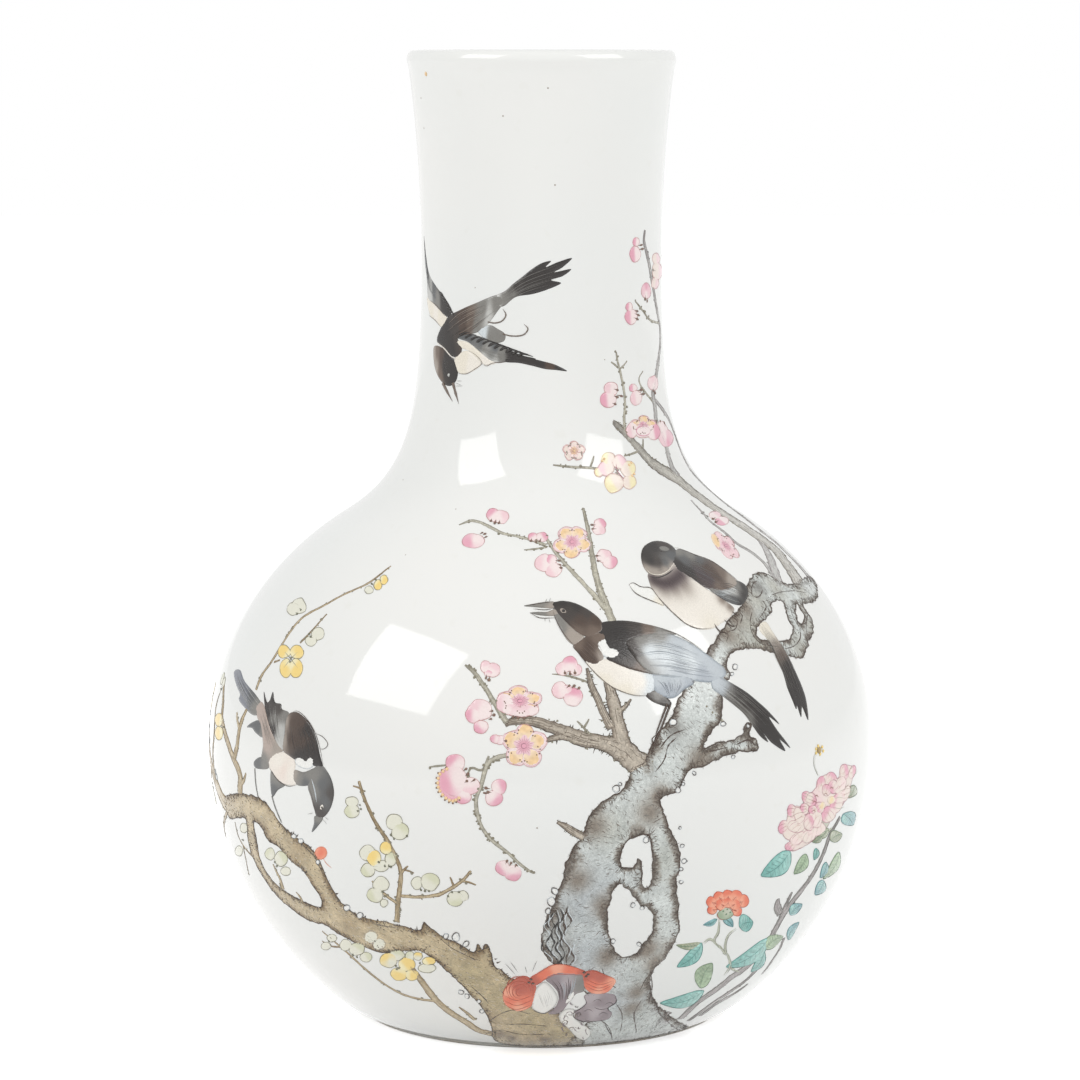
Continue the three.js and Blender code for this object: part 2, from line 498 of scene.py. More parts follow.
# %% [markdown]
# Enamel is laid with a brush in three ways. A wash fills an area and stands a tenth of a millimetre
# proud, thinning at its edge. A line is a narrow bead that swells and tapers with the brush's
# pressure. A touch is a single dot or curl. All are real closed shapes here, sunk a little into the
# glaze, so they catch the light as they do on the pot. Each point carries its own tint, which lets
# one colour fade into another as wet enamel does. An image texture would look the same from afar, but
# would have no thickness and would blur close up.

# %% Smooth paths and loops
sunk = -0.06
glaze_skin = 0.02
dice = np.random.default_rng(7)


def smooth_path(points, step, closed=False):
    """A smooth curve through points, with a point every step mm. Columns past the second come along."""
    points = np.array(points, float)
    count = len(points)
    pieces = []
    for i in range(count if closed else count - 1):
        before = points[i - 1] if closed or i else 2 * points[0] - points[1]
        start, end = points[i], points[(i + 1) % count]
        after = points[(i + 2) % count] if closed or i + 2 < count else 2 * end - start
        steps = max(1, round(float(np.hypot(*(end - start)[:2])) / step))
        share = np.arange(steps)[:, None] / steps
        pieces.append(0.5 * (2 * start + (end - before) * share
                             + (2 * before - 5 * start + 4 * end - after) * share ** 2
                             + (3 * start - before - 3 * end + after) * share ** 3))
    return np.vstack(pieces if closed else pieces + [points[-1:]])


def sideways(path, closed=False):
    """Unit steps to the right of a path."""
    if closed:
        along = np.roll(path, -1, axis=0) - np.roll(path, 1, axis=0)
    else:
        along = np.gradient(path, axis=0)
    along = along / np.maximum(np.hypot(along[:, 0], along[:, 1]), 1e-9)[:, None]
    return np.c_[along[:, 1], -along[:, 0]]


def cloudy(places, size, seed=0.0):
    """Smooth random values from -1 to 1 that change over size mm."""
    return np.array([value_noise((x / size, y / size, seed)) for x, y in places]) * 1.6


def ring_at(x, y, across, up, turn=0.0, count=10):
    """Pixels round an ellipse."""
    angle = np.linspace(0, 2 * math.pi, count, endpoint=False)
    cos, sin = math.cos(turn), math.sin(turn)
    flat, tall = across * np.cos(angle), up * np.sin(angle)
    return np.c_[x + flat * cos - tall * sin, y + flat * sin + tall * cos]


def within(points, loops):
    """Which points lie inside the first loop and outside the others."""
    crossings = np.zeros(len(points), int)
    x, y = points[:, :1], points[:, 1:]
    for loop in loops:
        a, b = loop, np.roll(loop, -1, axis=0)
        straddles = (a[:, 1] > y) != (b[:, 1] > y)
        rise = np.where(b[:, 1] == a[:, 1], 1, b[:, 1] - a[:, 1])
        crossings += (straddles & (x < (b[:, 0] - a[:, 0]) * (y - a[:, 1]) / rise + a[:, 0])).sum(axis=1)
    return crossings % 2 == 1


def to_edge(points, loops, batch=2000):
    """The distance from points to the nearest loop."""
    a = np.vstack(loops)
    side = np.vstack([np.roll(loop, -1, axis=0) for loop in loops]) - a
    length = np.maximum((side ** 2).sum(axis=1), 1e-12)
    nearest = []
    for start in range(0, len(points), batch):
        off = points[start:start + batch, None, :] - a
        share = np.clip((off * side).sum(axis=2) / length, 0, 1)[..., None]
        nearest.append(np.sqrt(((off - side * share) ** 2).sum(axis=2).min(axis=1)))
    return np.concatenate(nearest) if nearest else np.zeros(0)


# %% [markdown]
# A tint is a rule that gives a colour from a place and its distance to the wash's edge. The painter's
# colours are few, and each has a name here. Most washes are two or three of them, loaded in different
# places and drawn together while wet, darker where the colour pools along the rim.

# %% Pigments and tints
# Red, green and blue of the pigments for birds and ink, then bark, then flowers, then leaves. Cloud is kept a
# little light because it also serves as a painted highlight: the right soft box's sheen on the calling
# magpie's wing.
pigments = named("""
    soot 47,43,41 coal 66,60,56 umber 78,63,54 sepia 112,97,86 taupe 166,156,146 ash 128,126,121
    slate 92,94,95 mist 174,182,188 mist_dark 150,159,168 cloud 212,219,222 cloud_grey 196,196,192
    slate_blue 122,126,136 plum_black 74,62,64 taupe_pink 182,166,156 cream 240,234,224 shell 236,229,214
    snow 241,241,237
    bark 88,79,70 sepia_grey 124,112,99 stone_light 207,212,209 moss 150,151,136 twig 192,188,172
    twig_shade 158,153,138 twig_grey 190,180,165 bough_grey 191,188,179 bough_shade 157,152,144
    violet_grey 168,161,160 knot 134,128,110 tan_dark 124,102,70 sand_grey 194,177,144
    olive_sand 172,158,120 tan_shade 158,138,106
    rose 228,166,184 rose_pale 238,205,210 blush 242,220,216 petal_white 243,228,226
    petal_line 212,160,158 peach_line 208,168,156 peach_shade 170,120,110 cream_pink 236,222,212
    amber 240,206,158 honey 241,218,190 ochre 176,152,108 plum 150,104,116 plum_soft 196,136,152
    calyx 126,98,84 lemon 244,214,130 primrose 243,233,190 celadon 214,215,186 celadon_pale 229,228,212
    wax_line 140,136,114 wax_calyx 112,112,92 coral 230,118,88 coral_light 243,168,138 brick 186,88,68
    violet 140,127,132 violet_pale 178,168,172
    teal_light 160,208,200 teal 112,176,168 teal_deep 62,118,114 blue_teal 120,168,176 leaf 172,198,160
    sage 150,170,140 sage_pale 196,200,182 olive_grey 158,164,136 leaf_dark 92,128,96
""")


def colour(name):
    return np.array(pigments[name][0], float)


def soft(share):
    share = np.clip(share, 0, 1)
    return (share * share * (3 - 2 * share))[:, None]


def plain(name):
    return lambda places, edge: np.tile(colour(name), (len(places), 1))


def pooled(rim, inner, width):
    """From the rim's pigment to the inner one, over a width in mm."""
    return lambda places, edge: colour(rim) + (colour(inner) - colour(rim)) * soft(edge / width)


def rimmed(tint, rim, width, strength=1.0):
    """Any tint, drawn towards a pigment within a width in mm of the edge."""
    def mix(places, edge):
        share = (1 - soft(edge / width)) * strength
        return tint(places, edge) * (1 - share) + colour(rim) * share
    return mix


def loaded(notes, reach=1.0):
    """Pigments loaded at pixels of the photograph, drawn together in between."""
    notes = named(notes) if isinstance(notes, str) else notes
    names = [name for name, pixels in notes.items() for _ in pixels]
    spots = seen([pixel for pixels in notes.values() for pixel in pixels])
    shades = np.array([colour(name) for name in names])

    def mix(places, edge):
        away = ((places[:, None, :] - spots) ** 2).sum(axis=2)
        weight = 1 / (away + reach ** 2) ** 2
        return weight @ shades / weight.sum(axis=1)[:, None]
    return mix


def stained(tint, name, pixels, size, strength=0.8):
    """Any tint, with soft stains of a pigment at pixels, size mm across."""
    spots = seen(pixels)

    def mix(places, edge):
        away = ((places[:, None, :] - spots) ** 2).sum(axis=2).min(axis=1)
        share = (strength * np.exp(-away * 4 / size ** 2))[:, None]
        return tint(places, edge) * (1 - share) + colour(name) * share
    return mix


def running(start, end, first, second):
    """From the first pigment at one place to the second at another."""
    start, end = np.array(start, float), np.array(end, float)
    way = end - start

    def mix(places, edge):
        share = soft((places - start) @ way / (way @ way))
        return colour(first) + (colour(second) - colour(first)) * share
    return mix


def mottled(tint, size, depth, seed=0.0):
    """Any tint, made lighter and darker in clouds."""
    return lambda places, edge: tint(places, edge) * (1 + depth * cloudy(places, size, seed))[:, None]


# %% [markdown]
# A wash starts as an outline on the unrolled surface. The outline and a net of points inside it are
# joined into triangles, raised over the pot, and closed with a skirt and an underside in the glaze.

# %% A wash
class Wash:
    """Collects the filled areas of one enamel until they are fired as one piece."""

    def __init__(self, name):
        self.name, self.points, self.faces, self.tints, self.count = name, [], [], [], 0

    def fill(self, loops, tint, grain=0.9, lift=0.07, bed=0.0, round_step=None):
        """Fills the first loop, apart from any others. A bed is what it lies on, in mm over the glaze."""
        loops = [np.array(loop, float) for loop in loops]
        centre = loops[0].mean(axis=0)
        wide = np.array((stretched(centre[1]), 1))
        flat = [smooth_path((loop - centre) / wide, round_step or grain * 0.7, closed=True) for loop in loops]
        low, high = flat[0].min(axis=0), flat[0].max(axis=0)
        across, up = np.meshgrid(np.arange(low[0], high[0], grain), np.arange(low[1], high[1], grain * 0.87))
        across[1::2] += grain / 2
        inner = np.c_[across.ravel(), up.ravel()]
        inner = inner[within(inner, flat)]
        inner = inner[to_edge(inner, flat) > grain * 0.5]
        corners, triangles = joined(flat, inner)
        if not len(triangles):
            return
        edge = to_edge(corners, flat)
        places = corners * wide + centre
        top = bed + glaze_skin + lift * np.sqrt(np.clip(edge / 0.5, 0, 1))
        colours = tint(places, edge)
        self.add(np.vstack([on_pot(places, top), on_pot(places, sunk)]), closed_over(triangles, len(places)),
                 np.vstack([colours, colours]))

    def add(self, points, faces, tints):
        self.faces += [tuple(self.count + corner for corner in face) for face in faces]
        self.points.append(points)
        self.tints.append(tints)
        self.count += len(points)

    def fire(self, finish):
        mesh = bpy.data.meshes.new(self.name)
        mesh.from_pydata(np.vstack(self.points).tolist(), [], self.faces)
        tinted(mesh, np.vstack(self.tints))
        mesh.shade_smooth()
        mesh.materials.append(finish)
        return painted(linked(self.name, mesh))


def joined(flat, inner):
    """Triangles over the area of some loops, with the points inside them."""
    edges, start = [], 0
    for loop in flat:
        edges += [(start + i, start + (i + 1) % len(loop)) for i in range(len(loop))]
        start += len(loop)
    every = [Vector(point) for point in np.vstack(flat + [inner])]
    found = geometry.delaunay_2d_cdt(every, edges, [], 0, 1e-5)
    corners = np.array([tuple(corner) for corner in found[0]])
    triangles = np.array([face for face in found[2] if len(face) == 3], int).reshape(-1, 3)
    triangles = triangles[within(corners[triangles].mean(axis=1), flat)]
    used, renumbered = np.unique(triangles, return_inverse=True)
    return corners[used], renumbered.reshape(-1, 3)


def closed_over(triangles, count):
    """The faces of a slab: the triangles, the same turned over count points later, and its sides."""
    top = triangles.tolist()
    sides = {(a, b) for t in top for a, b in ((t[0], t[1]), (t[1], t[2]), (t[2], t[0]))}
    skirt = [(b, a, a + count, b + count) for a, b in sorted(sides) if (b, a) not in sides]
    return [tuple(t) for t in top] + [(a + count, c + count, b + count) for a, b, c in top] + skirt


def tinted(mesh, colours):
    layer = mesh.color_attributes.new("tint", "FLOAT_COLOR", "POINT")
    layer.data.foreach_set("color", np.c_[linear(np.clip(colours, 0, 255)), np.ones(len(colours))].ravel())


def painted(piece):
    """The last step of each coat: it rides on the pot and says how big it is."""
    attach(piece, "root")
    piece.data.calc_loop_triangles()
    print(piece.name, "triangles:", len(piece.data.loop_triangles))
    return piece


# %% [markdown]
# The lines are what repeats most here, so nodes make them. The script only lays out bare paths with a
# width, a tint and the way the surface faces. The node tree turns each path into a curve and sweeps a
# flat diamond along it, which is scaled by the width at every point.

# %% Brush lines made of nodes
def attribute(tree, name, kind):
    reader = node(tree, "GeometryNodeInputNamedAttribute", data_type=kind)
    reader.inputs["Name"].default_value = name
    return reader.outputs["Attribute"]


def line_tree(crest=0.3, root=0.45):
    tree, sockets, given = group("brush_line", Finish="NodeSocketMaterial")
    path = node(tree, "GeometryNodeMeshToCurve")
    upright = node(tree, "GeometryNodeSetCurveNormal", mode="FREE")
    section = node(tree, "GeometryNodeCurvePrimitiveQuadrilateral", mode="POINTS")
    for name, corner in (("Point 1", (crest, 0, 0)), ("Point 2", (0, 1, 0)), ("Point 3", (-root, 0, 0)),
                         ("Point 4", (0, -1, 0))):
        section.inputs[name].default_value = corner
    bead = node(tree, "GeometryNodeCurveToMesh")
    bead.inputs["Fill Caps"].default_value = True
    wire(tree, (given.outputs["Geometry"], path.inputs["Mesh"]),
        (path.outputs["Curve"], upright.inputs["Curve"]),
        (attribute(tree, "facing", "FLOAT_VECTOR"), upright.inputs["Normal"]),
        (upright.outputs["Curve"], bead.inputs["Curve"]),
        (section.outputs["Curve"], bead.inputs["Profile Curve"]),
        (attribute(tree, "size", "FLOAT"), bead.inputs["Scale"]))
    finished(tree, given, bead.outputs["Mesh"])
    return tree, sockets


line_nodes, line_sockets = line_tree()


def marked(mesh, facings, sizes, tints):
    """Stores which way each point faces, its size in mm and its tint."""
    mesh.attributes.new("facing", "FLOAT_VECTOR", "POINT").data.foreach_set("vector", facings.ravel())
    mesh.attributes.new("size", "FLOAT", "POINT").data.foreach_set("value", sizes / 1000)
    tinted(mesh, tints)


class Lines:
    """Collects brush lines of one enamel until they are fired as one piece."""

    def __init__(self, name):
        self.name, self.count = name, 0
        self.points, self.edges, self.facings, self.halves, self.tints = [], [], [], [], []

    def draw(self, path, width, tint, bed=0.0, taper=(0.3, 0.3), step=0.7, shake=0.0, closed=False):
        """Lays a line. The width in mm and the pigment may each be one value, or one for each end."""
        path = np.array(path, float)
        wide = widened(path)
        flat = smooth_path(path / wide, step, closed)
        share = np.linspace(0, 1, len(flat))
        ends = np.broadcast_to(np.array(width, float), 2)
        half = (ends[0] + (ends[1] - ends[0]) * share) / 2
        if not closed:
            for reach, run in zip(taper, (share, 1 - share)):
                half = half * (np.clip(run / reach, 0.1, 1) ** 0.7 if reach else 1)
        if shake:
            half = half * (1 + shake * dice.uniform(-1, 1, len(flat)))
            drift = shake * 0.25 * half * dice.uniform(-1, 1, len(flat))
            flat = flat + sideways(flat, closed) * drift[:, None]
        names = (tint, tint) if isinstance(tint, str) else tint
        tints = colour(names[0]) + (colour(names[1]) - colour(names[0])) * share[:, None]
        places = flat * wide
        self.points.append(on_pot(places, bed + glaze_skin))
        self.facings.append(facing(places))
        self.halves.append(half)
        self.tints.append(tints)
        self.edges += [(self.count + i, self.count + i + 1) for i in range(len(flat) - 1)]
        if closed:
            self.edges.append((self.count + len(flat) - 1, self.count))
        self.count += len(flat)

    def fire(self, finish):
        mesh = bpy.data.meshes.new(self.name)
        mesh.from_pydata(np.vstack(self.points).tolist(), self.edges, [])
        marked(mesh, np.vstack(self.facings), np.concatenate(self.halves), np.vstack(self.tints))
        return painted(baked(linked(self.name, mesh), line_nodes, {line_sockets["Finish"]: finish}))


# %% [markdown]
# Pollen, knots on twigs, the stipple on the bark and the iron specks in the glaze are single touches of
# the brush. Nodes set a small dome on each marked point and turn it to face out of the pot. A dome has
# a few dozen faces, because there are thousands of them.

# %% Touches made of nodes
def touch_tree():
    """A low dome, a third as high as its radius, on every point."""
    tree, sockets, given = group("touches", Finish="NodeSocketMaterial")
    ball = node(tree, "GeometryNodeMeshUVSphere")
    ball.inputs["Segments"].default_value = 8
    ball.inputs["Rings"].default_value = 4
    flat = node(tree, "GeometryNodeTransform")
    flat.inputs["Scale"].default_value = (1, 1, 0.35)
    upright = node(tree, "FunctionNodeAlignRotationToVector", axis="Z")
    place = node(tree, "GeometryNodeInstanceOnPoints")
    wire(tree, (ball.outputs["Mesh"], flat.inputs["Geometry"]),
        (attribute(tree, "facing", "FLOAT_VECTOR"), upright.inputs["Vector"]),
        (given.outputs["Geometry"], place.inputs["Points"]),
        (flat.outputs["Geometry"], place.inputs["Instance"]),
        (upright.outputs["Rotation"], place.inputs["Rotation"]),
        (attribute(tree, "size", "FLOAT"), place.inputs["Scale"]))
    finished(tree, given, place.outputs["Instances"])
    return tree, sockets


touch_nodes, touch_sockets = touch_tree()


class Touches:
    """Collects dots of one enamel until they are fired as one piece."""

    def __init__(self, name):
        self.name, self.places, self.radii, self.tints, self.beds = name, [], [], [], []

    def dab(self, places, radius, name, bed=0.0):
        places = np.array(places, float).reshape(-1, 2)
        self.places.append(places)
        self.radii.append(np.broadcast_to(radius, len(places)))
        self.tints.append(np.tile(colour(name), (len(places), 1)))
        self.beds.append(np.full(len(places), bed))

    def fire(self, finish):
        places = np.vstack(self.places)
        mesh = bpy.data.meshes.new(self.name)
        mesh.from_pydata(on_pot(places, np.concatenate(self.beds) + glaze_skin).tolist(), [], [])
        marked(mesh, facing(places), np.concatenate(self.radii), np.vstack(self.tints))
        return painted(baked(linked(self.name, mesh), touch_nodes, {touch_sockets["Finish"]: finish}))


# %% [markdown]
# Famille rose enamels are lead glass with a little colour. The pinks, yellows and whites are clouded
# with arsenic or tin and look soft and milky. The greens are clear and glossy. The black of the birds
# and the bark is a dry, thin colour with a fine grain from hand-ground pigment. So all share one
# recipe, reading the painted tint, and differ in gloss, grain and relief.

# %% The enamels
def enamel(name, roughness, grain, depth, ripple):
    made, tree, shader = plain_finish(name, (200, 200, 200), roughness)
    tint = node(tree, "ShaderNodeAttribute", attribute_name="tint")
    speckle = spread(tree, noise(tree, grain, 3), 0.3, 0.7, 1 - depth, 1 + depth * 0.6)
    shaded = node(tree, "ShaderNodeVectorMath", operation="SCALE")
    wire(tree, (tint.outputs["Color"], shaded.inputs[0]), (speckle, shaded.inputs["Scale"]),
        (shaded.outputs["Vector"], shader.inputs["Base Color"]))
    bumped(tree, shader, noise(tree, grain / 2, 2), ripple, 0.0002)
    return made


bark_enamel = enamel("dry_bark_enamel", 0.2, 2600, 0.22, 0.3)
ink_enamel = enamel("dry_black_line_enamel", 0.3, 2200, 0.15, 0.2)
plumage_enamel = enamel("black_plumage_enamel", 0.18, 3000, 0.12, 0.25)
petal_enamel = enamel("milky_petal_enamel", 0.14, 1500, 0.03, 0.2)
leaf_enamel = enamel("clear_green_enamel", 0.08, 900, 0.1, 0.35)

# %% [markdown]
# The old plum tree is drawn as in a scholar's painting: one long wavering edge, holes worn through
# the trunk, short dry strokes of the brush for the bark, and small curls of lichen. A blue-grey wash
# fills the middle and turns brown towards the edges. The outline is read off the photograph at the
# places where it turns, and smooth curves join them.

# %% Strokes that a painter repeats
pixel_mm = 0.32


def outlined(lines, loop, width, tint, bed, closed=True, stroke=14.0, shake=0.35, skip=0.06):
    """Goes along a path on the unrolled surface in several strokes of the brush."""
    wide = widened(loop)
    path = smooth_path(np.array(loop, float) / wide, 0.7, closed)
    if closed:
        path = np.vstack([path, path[:3]])
    start = 0
    while start < len(path) - 3:
        end = min(len(path) - 1, start + int(dice.uniform(0.5, 1.5) * stroke / 0.7) + 3)
        if dice.random() > skip:
            press = width * dice.uniform(0.75, 1.25)
            lines.draw(path[start:end + 1] * wide, press, tint, bed, (0.25, 0.25), 0.9, shake)
        start = end - 1


def hatched(lines, loops, heading, gap, length, width, tint, bed, reach=99.0, chance=1.0):
    """Short strokes inside loops, no further than reach mm from their edge. Heading gives a direction."""
    loops = [np.array(loop, float) for loop in loops]
    centre = loops[0].mean(axis=0)
    wide = np.array((stretched(centre[1]), 1))
    flat = [smooth_path((loop - centre) / wide, 1.0, closed=True) for loop in loops]
    low, high = flat[0].min(axis=0), flat[0].max(axis=0)
    count = int((high - low).prod() / gap ** 2 * chance)
    spots = dice.uniform(low, high, (count, 2))
    spots = spots[within(spots, flat)]
    spots = spots[to_edge(spots, flat) < reach]
    for spot in spots:
        way = heading(spot * wide + centre, spot, flat)
        way = way / max(np.hypot(*way), 1e-9) * dice.uniform(0.6, 1.3) * length / 2
        bend = np.array((-way[1], way[0])) * dice.uniform(-0.2, 0.2)
        path = np.array((spot - way, spot + bend, spot + way)) * wide + centre
        shade = tint if isinstance(tint, str) else tint[dice.integers(len(tint))]
        lines.draw(path, width * dice.uniform(0.6, 1.2), shade, bed, (0.4, 0.5), 1.2, 0)


def inward(place, spot, flat):
    """The direction from a spot to the nearest edge, turned a little at random."""
    every = np.vstack(flat)
    way = every[((every - spot) ** 2).sum(axis=1).argmin()] - spot
    turn = dice.normal(0, 0.35)
    cos, sin = math.cos(turn), math.sin(turn)
    return np.array((way[0] * cos - way[1] * sin, way[0] * sin + way[1] * cos))


def toward(start, end):
    """A fixed direction from one pixel to another."""
    way = np.subtract(*seen([end, start]))
    return lambda place, spot, flat: way * (1 / stretched(place[1]), 1)


def bough(points, bump=0.14, step=1.3):
    """Both sides of a branch given as (x, y, half width) pixels, as one knobbly outline."""
    points = np.array(points, float)
    centre = seen(points[:, :2])
    wide = widened(centre)
    path = smooth_path(np.c_[centre / wide, points[:, 2] * pixel_mm], step)
    middle, half = path[:, :2], path[:, 2]
    side = sideways(middle)

    def reach(seed):
        return (half * (1 + bump * cloudy(middle, 1.9, seed)) + 0.06 * cloudy(middle, 1, seed + 3))[:, None]

    return (middle + side * reach(1)) * wide, (middle - side * reach(2)) * wide


def strewn(flat, gap, outward):
    """Chance places along a path, about a gap apart, each with the way out to one side."""
    steps = 0.8
    flat = smooth_path(flat[::2], steps)
    side = sideways(flat) * outward
    return [(spot, way) for spot, way in zip(flat, side) if dice.random() < steps / gap]


def thorny(lines, path, gap, length, width, tint, bed, outward=1):
    """Small spurs standing off a path."""
    path = np.array(path, float)
    wide = widened(path)
    for spot, way in strewn(path / wide, gap, outward):
        spot = spot + way * dice.normal(0, 0.1)
        lean = way + dice.normal(0, 0.45, 2)
        tip = spot + lean * length * dice.uniform(0.6, 1.4)
        ends = (width * dice.uniform(0.7, 1.3), width * 0.3)
        lines.draw(np.array((spot - way * 0.1, tip)) * wide, ends, tint, bed, (0, 0.6), 0.8)


# %% The old trunk
bark = Wash("trunk_washes")
bark_lines = Lines("trunk_lines")
branch_lines = Lines("branch_lines")
stipple = Touches("stipple_and_knots")

trunk_left = at("""568,1046 576,1034 590,1020 598,1008 590,996 575,985 556,966 547,957 542,945 543,930
    548,915 555,902 558,890 563,880 565,868 572,850 583,835 590,815 605,800 622,790 632,772 645,760
    652,745 658,734 669,722 676,706 684,690 694,672 704,655 713,643 721,632 728,621 737,611 743,603
    746,594 748,584""")
trunk_head = at("""752,577 759,573 767,574 775,578 784,583 793,584 799,581 805,578 811,577 816,584 817,597
    811,603 803,604 807,612 812,620 813,631 809,641 806,650 802,658 792,657 780,655 770,652 757,649
    745,649 737,650 731,654 727,660 727,668 730,675 726,682 722,690""")
trunk_right = at("""722,705 720,720 712,730 703,748 715,744 730,741 740,736 745,725 751,724 749,735
    757,741 757,750 740,752 725,756 712,762 700,767 691,770 685,777 678,790 668,795 660,800 664,812
    668,825 673,836 679,848 680,860 678,872 676,885 678,900 678,915 679,930 676,940 670,950 664,960
    655,968 651,978 650,986 653,998 663,1010 676,1020 686,1031 668,1037 645,1041 620,1045""")
upper_hole = at("""622,850 628,840 638,835 648,836 652,850 652,870 650,885 645,888 642,880 641,862 637,858
    634,868 626,868 620,865""")
lower_hole = at("""617,885 626,888 634,897 641,905 650,910 653,918 652,930 647,940 641,946 636,953 627,957
    619,955 613,948 609,935 607,915 610,900""")
head_hole = at("""771,604 777,600 783,602 786,611 789,621 793,629 791,637 785,641 777,641 768,640 760,639
    756,633 758,626 763,620 768,616 772,610""")
side_hole = at("796,604 801,610 804,616 803,622 798,622 796,613")
trunk_darks = at("558,930 562,946 567,958 560,915 758,587 674,728 668,1012")
head_greys = at("757,600 775,588 800,590 750,625 800,648 760,645 740,640 812,628")
inner_lines = paths("""752,612 750,622 752,633 760,643 772,646 784,648 / 808,612 806,624 807,636 /
    789,605 793,617 799,628 800,638 794,646 784,649 / 762,600 766,607 761,616 /
    771,595 782,592 795,591 806,593 / 731,617 737,621 735,629 729,631 / 738,610 742,616 740,624 /
    722,631 728,635 726,642 / 653,970 645,980 640,990 635,998 / 651,974 652,990 648,1004 /
    598,1019 605,1023 610,1030 612,1040 / 616,1003 622,1015 620,1032 / 655,1000 660,1014 672,1027 /
    641,1000 634,1015 636,1033 / 664,1012 668,1022 678,1031 / 676,738 668,746 664,760 655,772 /
    660,748 668,738 675,733 684,730 / 735,745 748,740 756,746 / 705,752 716,750 728,747 /
    602,968 606,980 616,988""")
curly_left = at("548,914 544,924 547,932 543,941 544,952 551,963")
curly_right = at("567,906 570,919 565,933 571,945 573,956 569,967")
trunk_stains = at("""594,826 577,880 637,992 632,1008 604,905 650,812 700,760 607,958 655,962 660,800
    648,950 734,618 726,633 745,607""")
trunk_greens = at("640,1010 612,830 760,640 665,860 640,985")


def gnarled(pixels, depth=0.4):
    """A loop read off the photograph, with the small bumps of bark between its points."""
    path = smooth_path(seen(pixels), 0.9, closed=True)
    bumps = depth * cloudy(path, 2.1, 8) + depth / 2 * cloudy(path, 0.9, 3)
    return path + sideways(path, closed=True) * bumps[:, None]


trunk_loops = [gnarled(trunk_left + trunk_head + trunk_right)]
trunk_loops += [gnarled(hole) for hole in (upper_hole, lower_hole, head_hole, side_hole)]
head_rises = seen("716,700 752,610")[:, 1]


def barked(tint, reach, seed, shade="sepia_grey", dark="bark"):
    """A tint that turns brown, then dark, in an uneven border along the edge, narrow in the tree's head."""
    def mix(places, edge):
        border = reach * np.clip(0.85 + 1.2 * cloudy(places, 7, seed), 0.25, 2)
        border = border * np.interp(places[:, 1], head_rises, (1, 0.42))
        share = edge / border + 0.25 * cloudy(places, 0.8, seed + 2)
        middle, rim = colour(shade), colour(dark)
        near = rim + (middle - rim) * soft(share / 0.65)
        return near + (tint(places, edge) - near) * soft(share)
    return mix


trunk_tint = stained(plain("stone_light"), "moss", trunk_greens, 14, 0.3)
trunk_tint = stained(trunk_tint, "twig_shade", head_greys, 11, 0.5)
trunk_tint = mottled(stained(trunk_tint, "mist", "590,900 592,955 630,1000", 26, 0.6), 5, 0.06, 11)
trunk_tint = stained(trunk_tint, "violet", "662,1004 670,1018 678,1030", 7, 0.6)
trunk_tint = stained(stained(trunk_tint, "sepia_grey", trunk_stains, 9, 0.85), "ash", trunk_darks, 7, 0.9)
trunk_tint = mottled(barked(trunk_tint, 3.2, 3), 0.9, 0.08, 9)
bark.fill(trunk_loops, trunk_tint, 0.62)
for loop in trunk_loops:
    outlined(bark_lines, loop, 0.42, "umber", 0.02)
hatched(bark_lines, trunk_loops, inward, 0.9, 1.9, 0.22, ("umber", "bark", "sepia"), 0.09, 2.0)
hatched(bark_lines, trunk_loops, inward, 2.0, 1.6, 0.18, ("ash", "sepia"), 0.09)


def stippled(loops, reach, count, names, bed):
    """Dots inside loops, thicker on the ground towards the edge."""
    flat = [smooth_path(loop, 1.0, closed=True) for loop in loops]
    spots = dice.uniform(flat[0].min(axis=0), flat[0].max(axis=0), (count, 2))
    spots = spots[within(spots, flat)]
    spots = spots[to_edge(spots, flat) < reach * dice.random(len(spots)) ** 0.7]
    for name in names:
        chosen = spots[dice.random(len(spots)) < 1 / len(names)]
        stipple.dab(chosen, dice.uniform(0.12, 0.26, len(chosen)), name, bed)


stippled(trunk_loops, 3.6, 10000, ("umber", "bark", "sepia_grey"), 0.09)

for pixels in inner_lines:
    outlined(bark_lines, seen(pixels), 0.36, "umber", 0.1, False, 8, 0.4, 0.1)
for share in np.linspace(0, 1, 7):
    line = smooth_path(np.array(curly_left) * (1 - share) + np.array(curly_right) * share, 4)
    line[:, 0] += 1.9 * np.sin(np.arange(len(line)) * 1.25 + share * 9) + dice.normal(0, 0.4, len(line))
    outlined(bark_lines, seen(line), 0.5, "soot" if share < 0.7 else "umber", 0.1, False, 5, 0.5, 0.1)
    outlined(bark_lines, seen(line + (1.9, 0)), 0.4, "cloud", 0.1, False, 4, 0.4, 0.3)
for knot in (ring_at(757, 589, 5.5, 8.5, 0.15)[:8], ring_at(758, 588, 3, 5, 0.3)[3:8]):
    outlined(bark_lines, seen(knot), 0.36, "umber", 0.11, False, 9, 0.6, 0.1)

# %% [markdown]
# Branches are young wood: a narrow body, thorns along both sides, and a dark line that comes and goes.
# Each is written as a few places with a half width, and its two edges are made knobbly by rule.

# %% Branches
branch_tints = {
    "grey": ("cloud_grey", "violet_grey", "ash"),
    "brown": ("twig_grey", "sepia_grey", "bark"),
    "old": ("bough_grey", "bough_shade", "bark"),
    "olive": ("twig", "twig_shade", "twig_shade"),
    "violet": ("violet_grey", "ash", "ash"),
    "ochre": ("sand_grey", "tan_shade", "tan_dark"),
}


def knobbly(path, gap, radius, name, bed, outward=1):
    """Knots along one side of a path."""
    wide = widened(path)
    for spot, way in strewn(path / wide, gap, outward):
        for _ in range(dice.integers(1, 3)):
            place = (spot + way * dice.uniform(-0.1, 0.3) + dice.normal(0, 0.12, 2)) * wide
            stipple.dab(place, radius * dice.uniform(0.5, 1.25), name, bed)


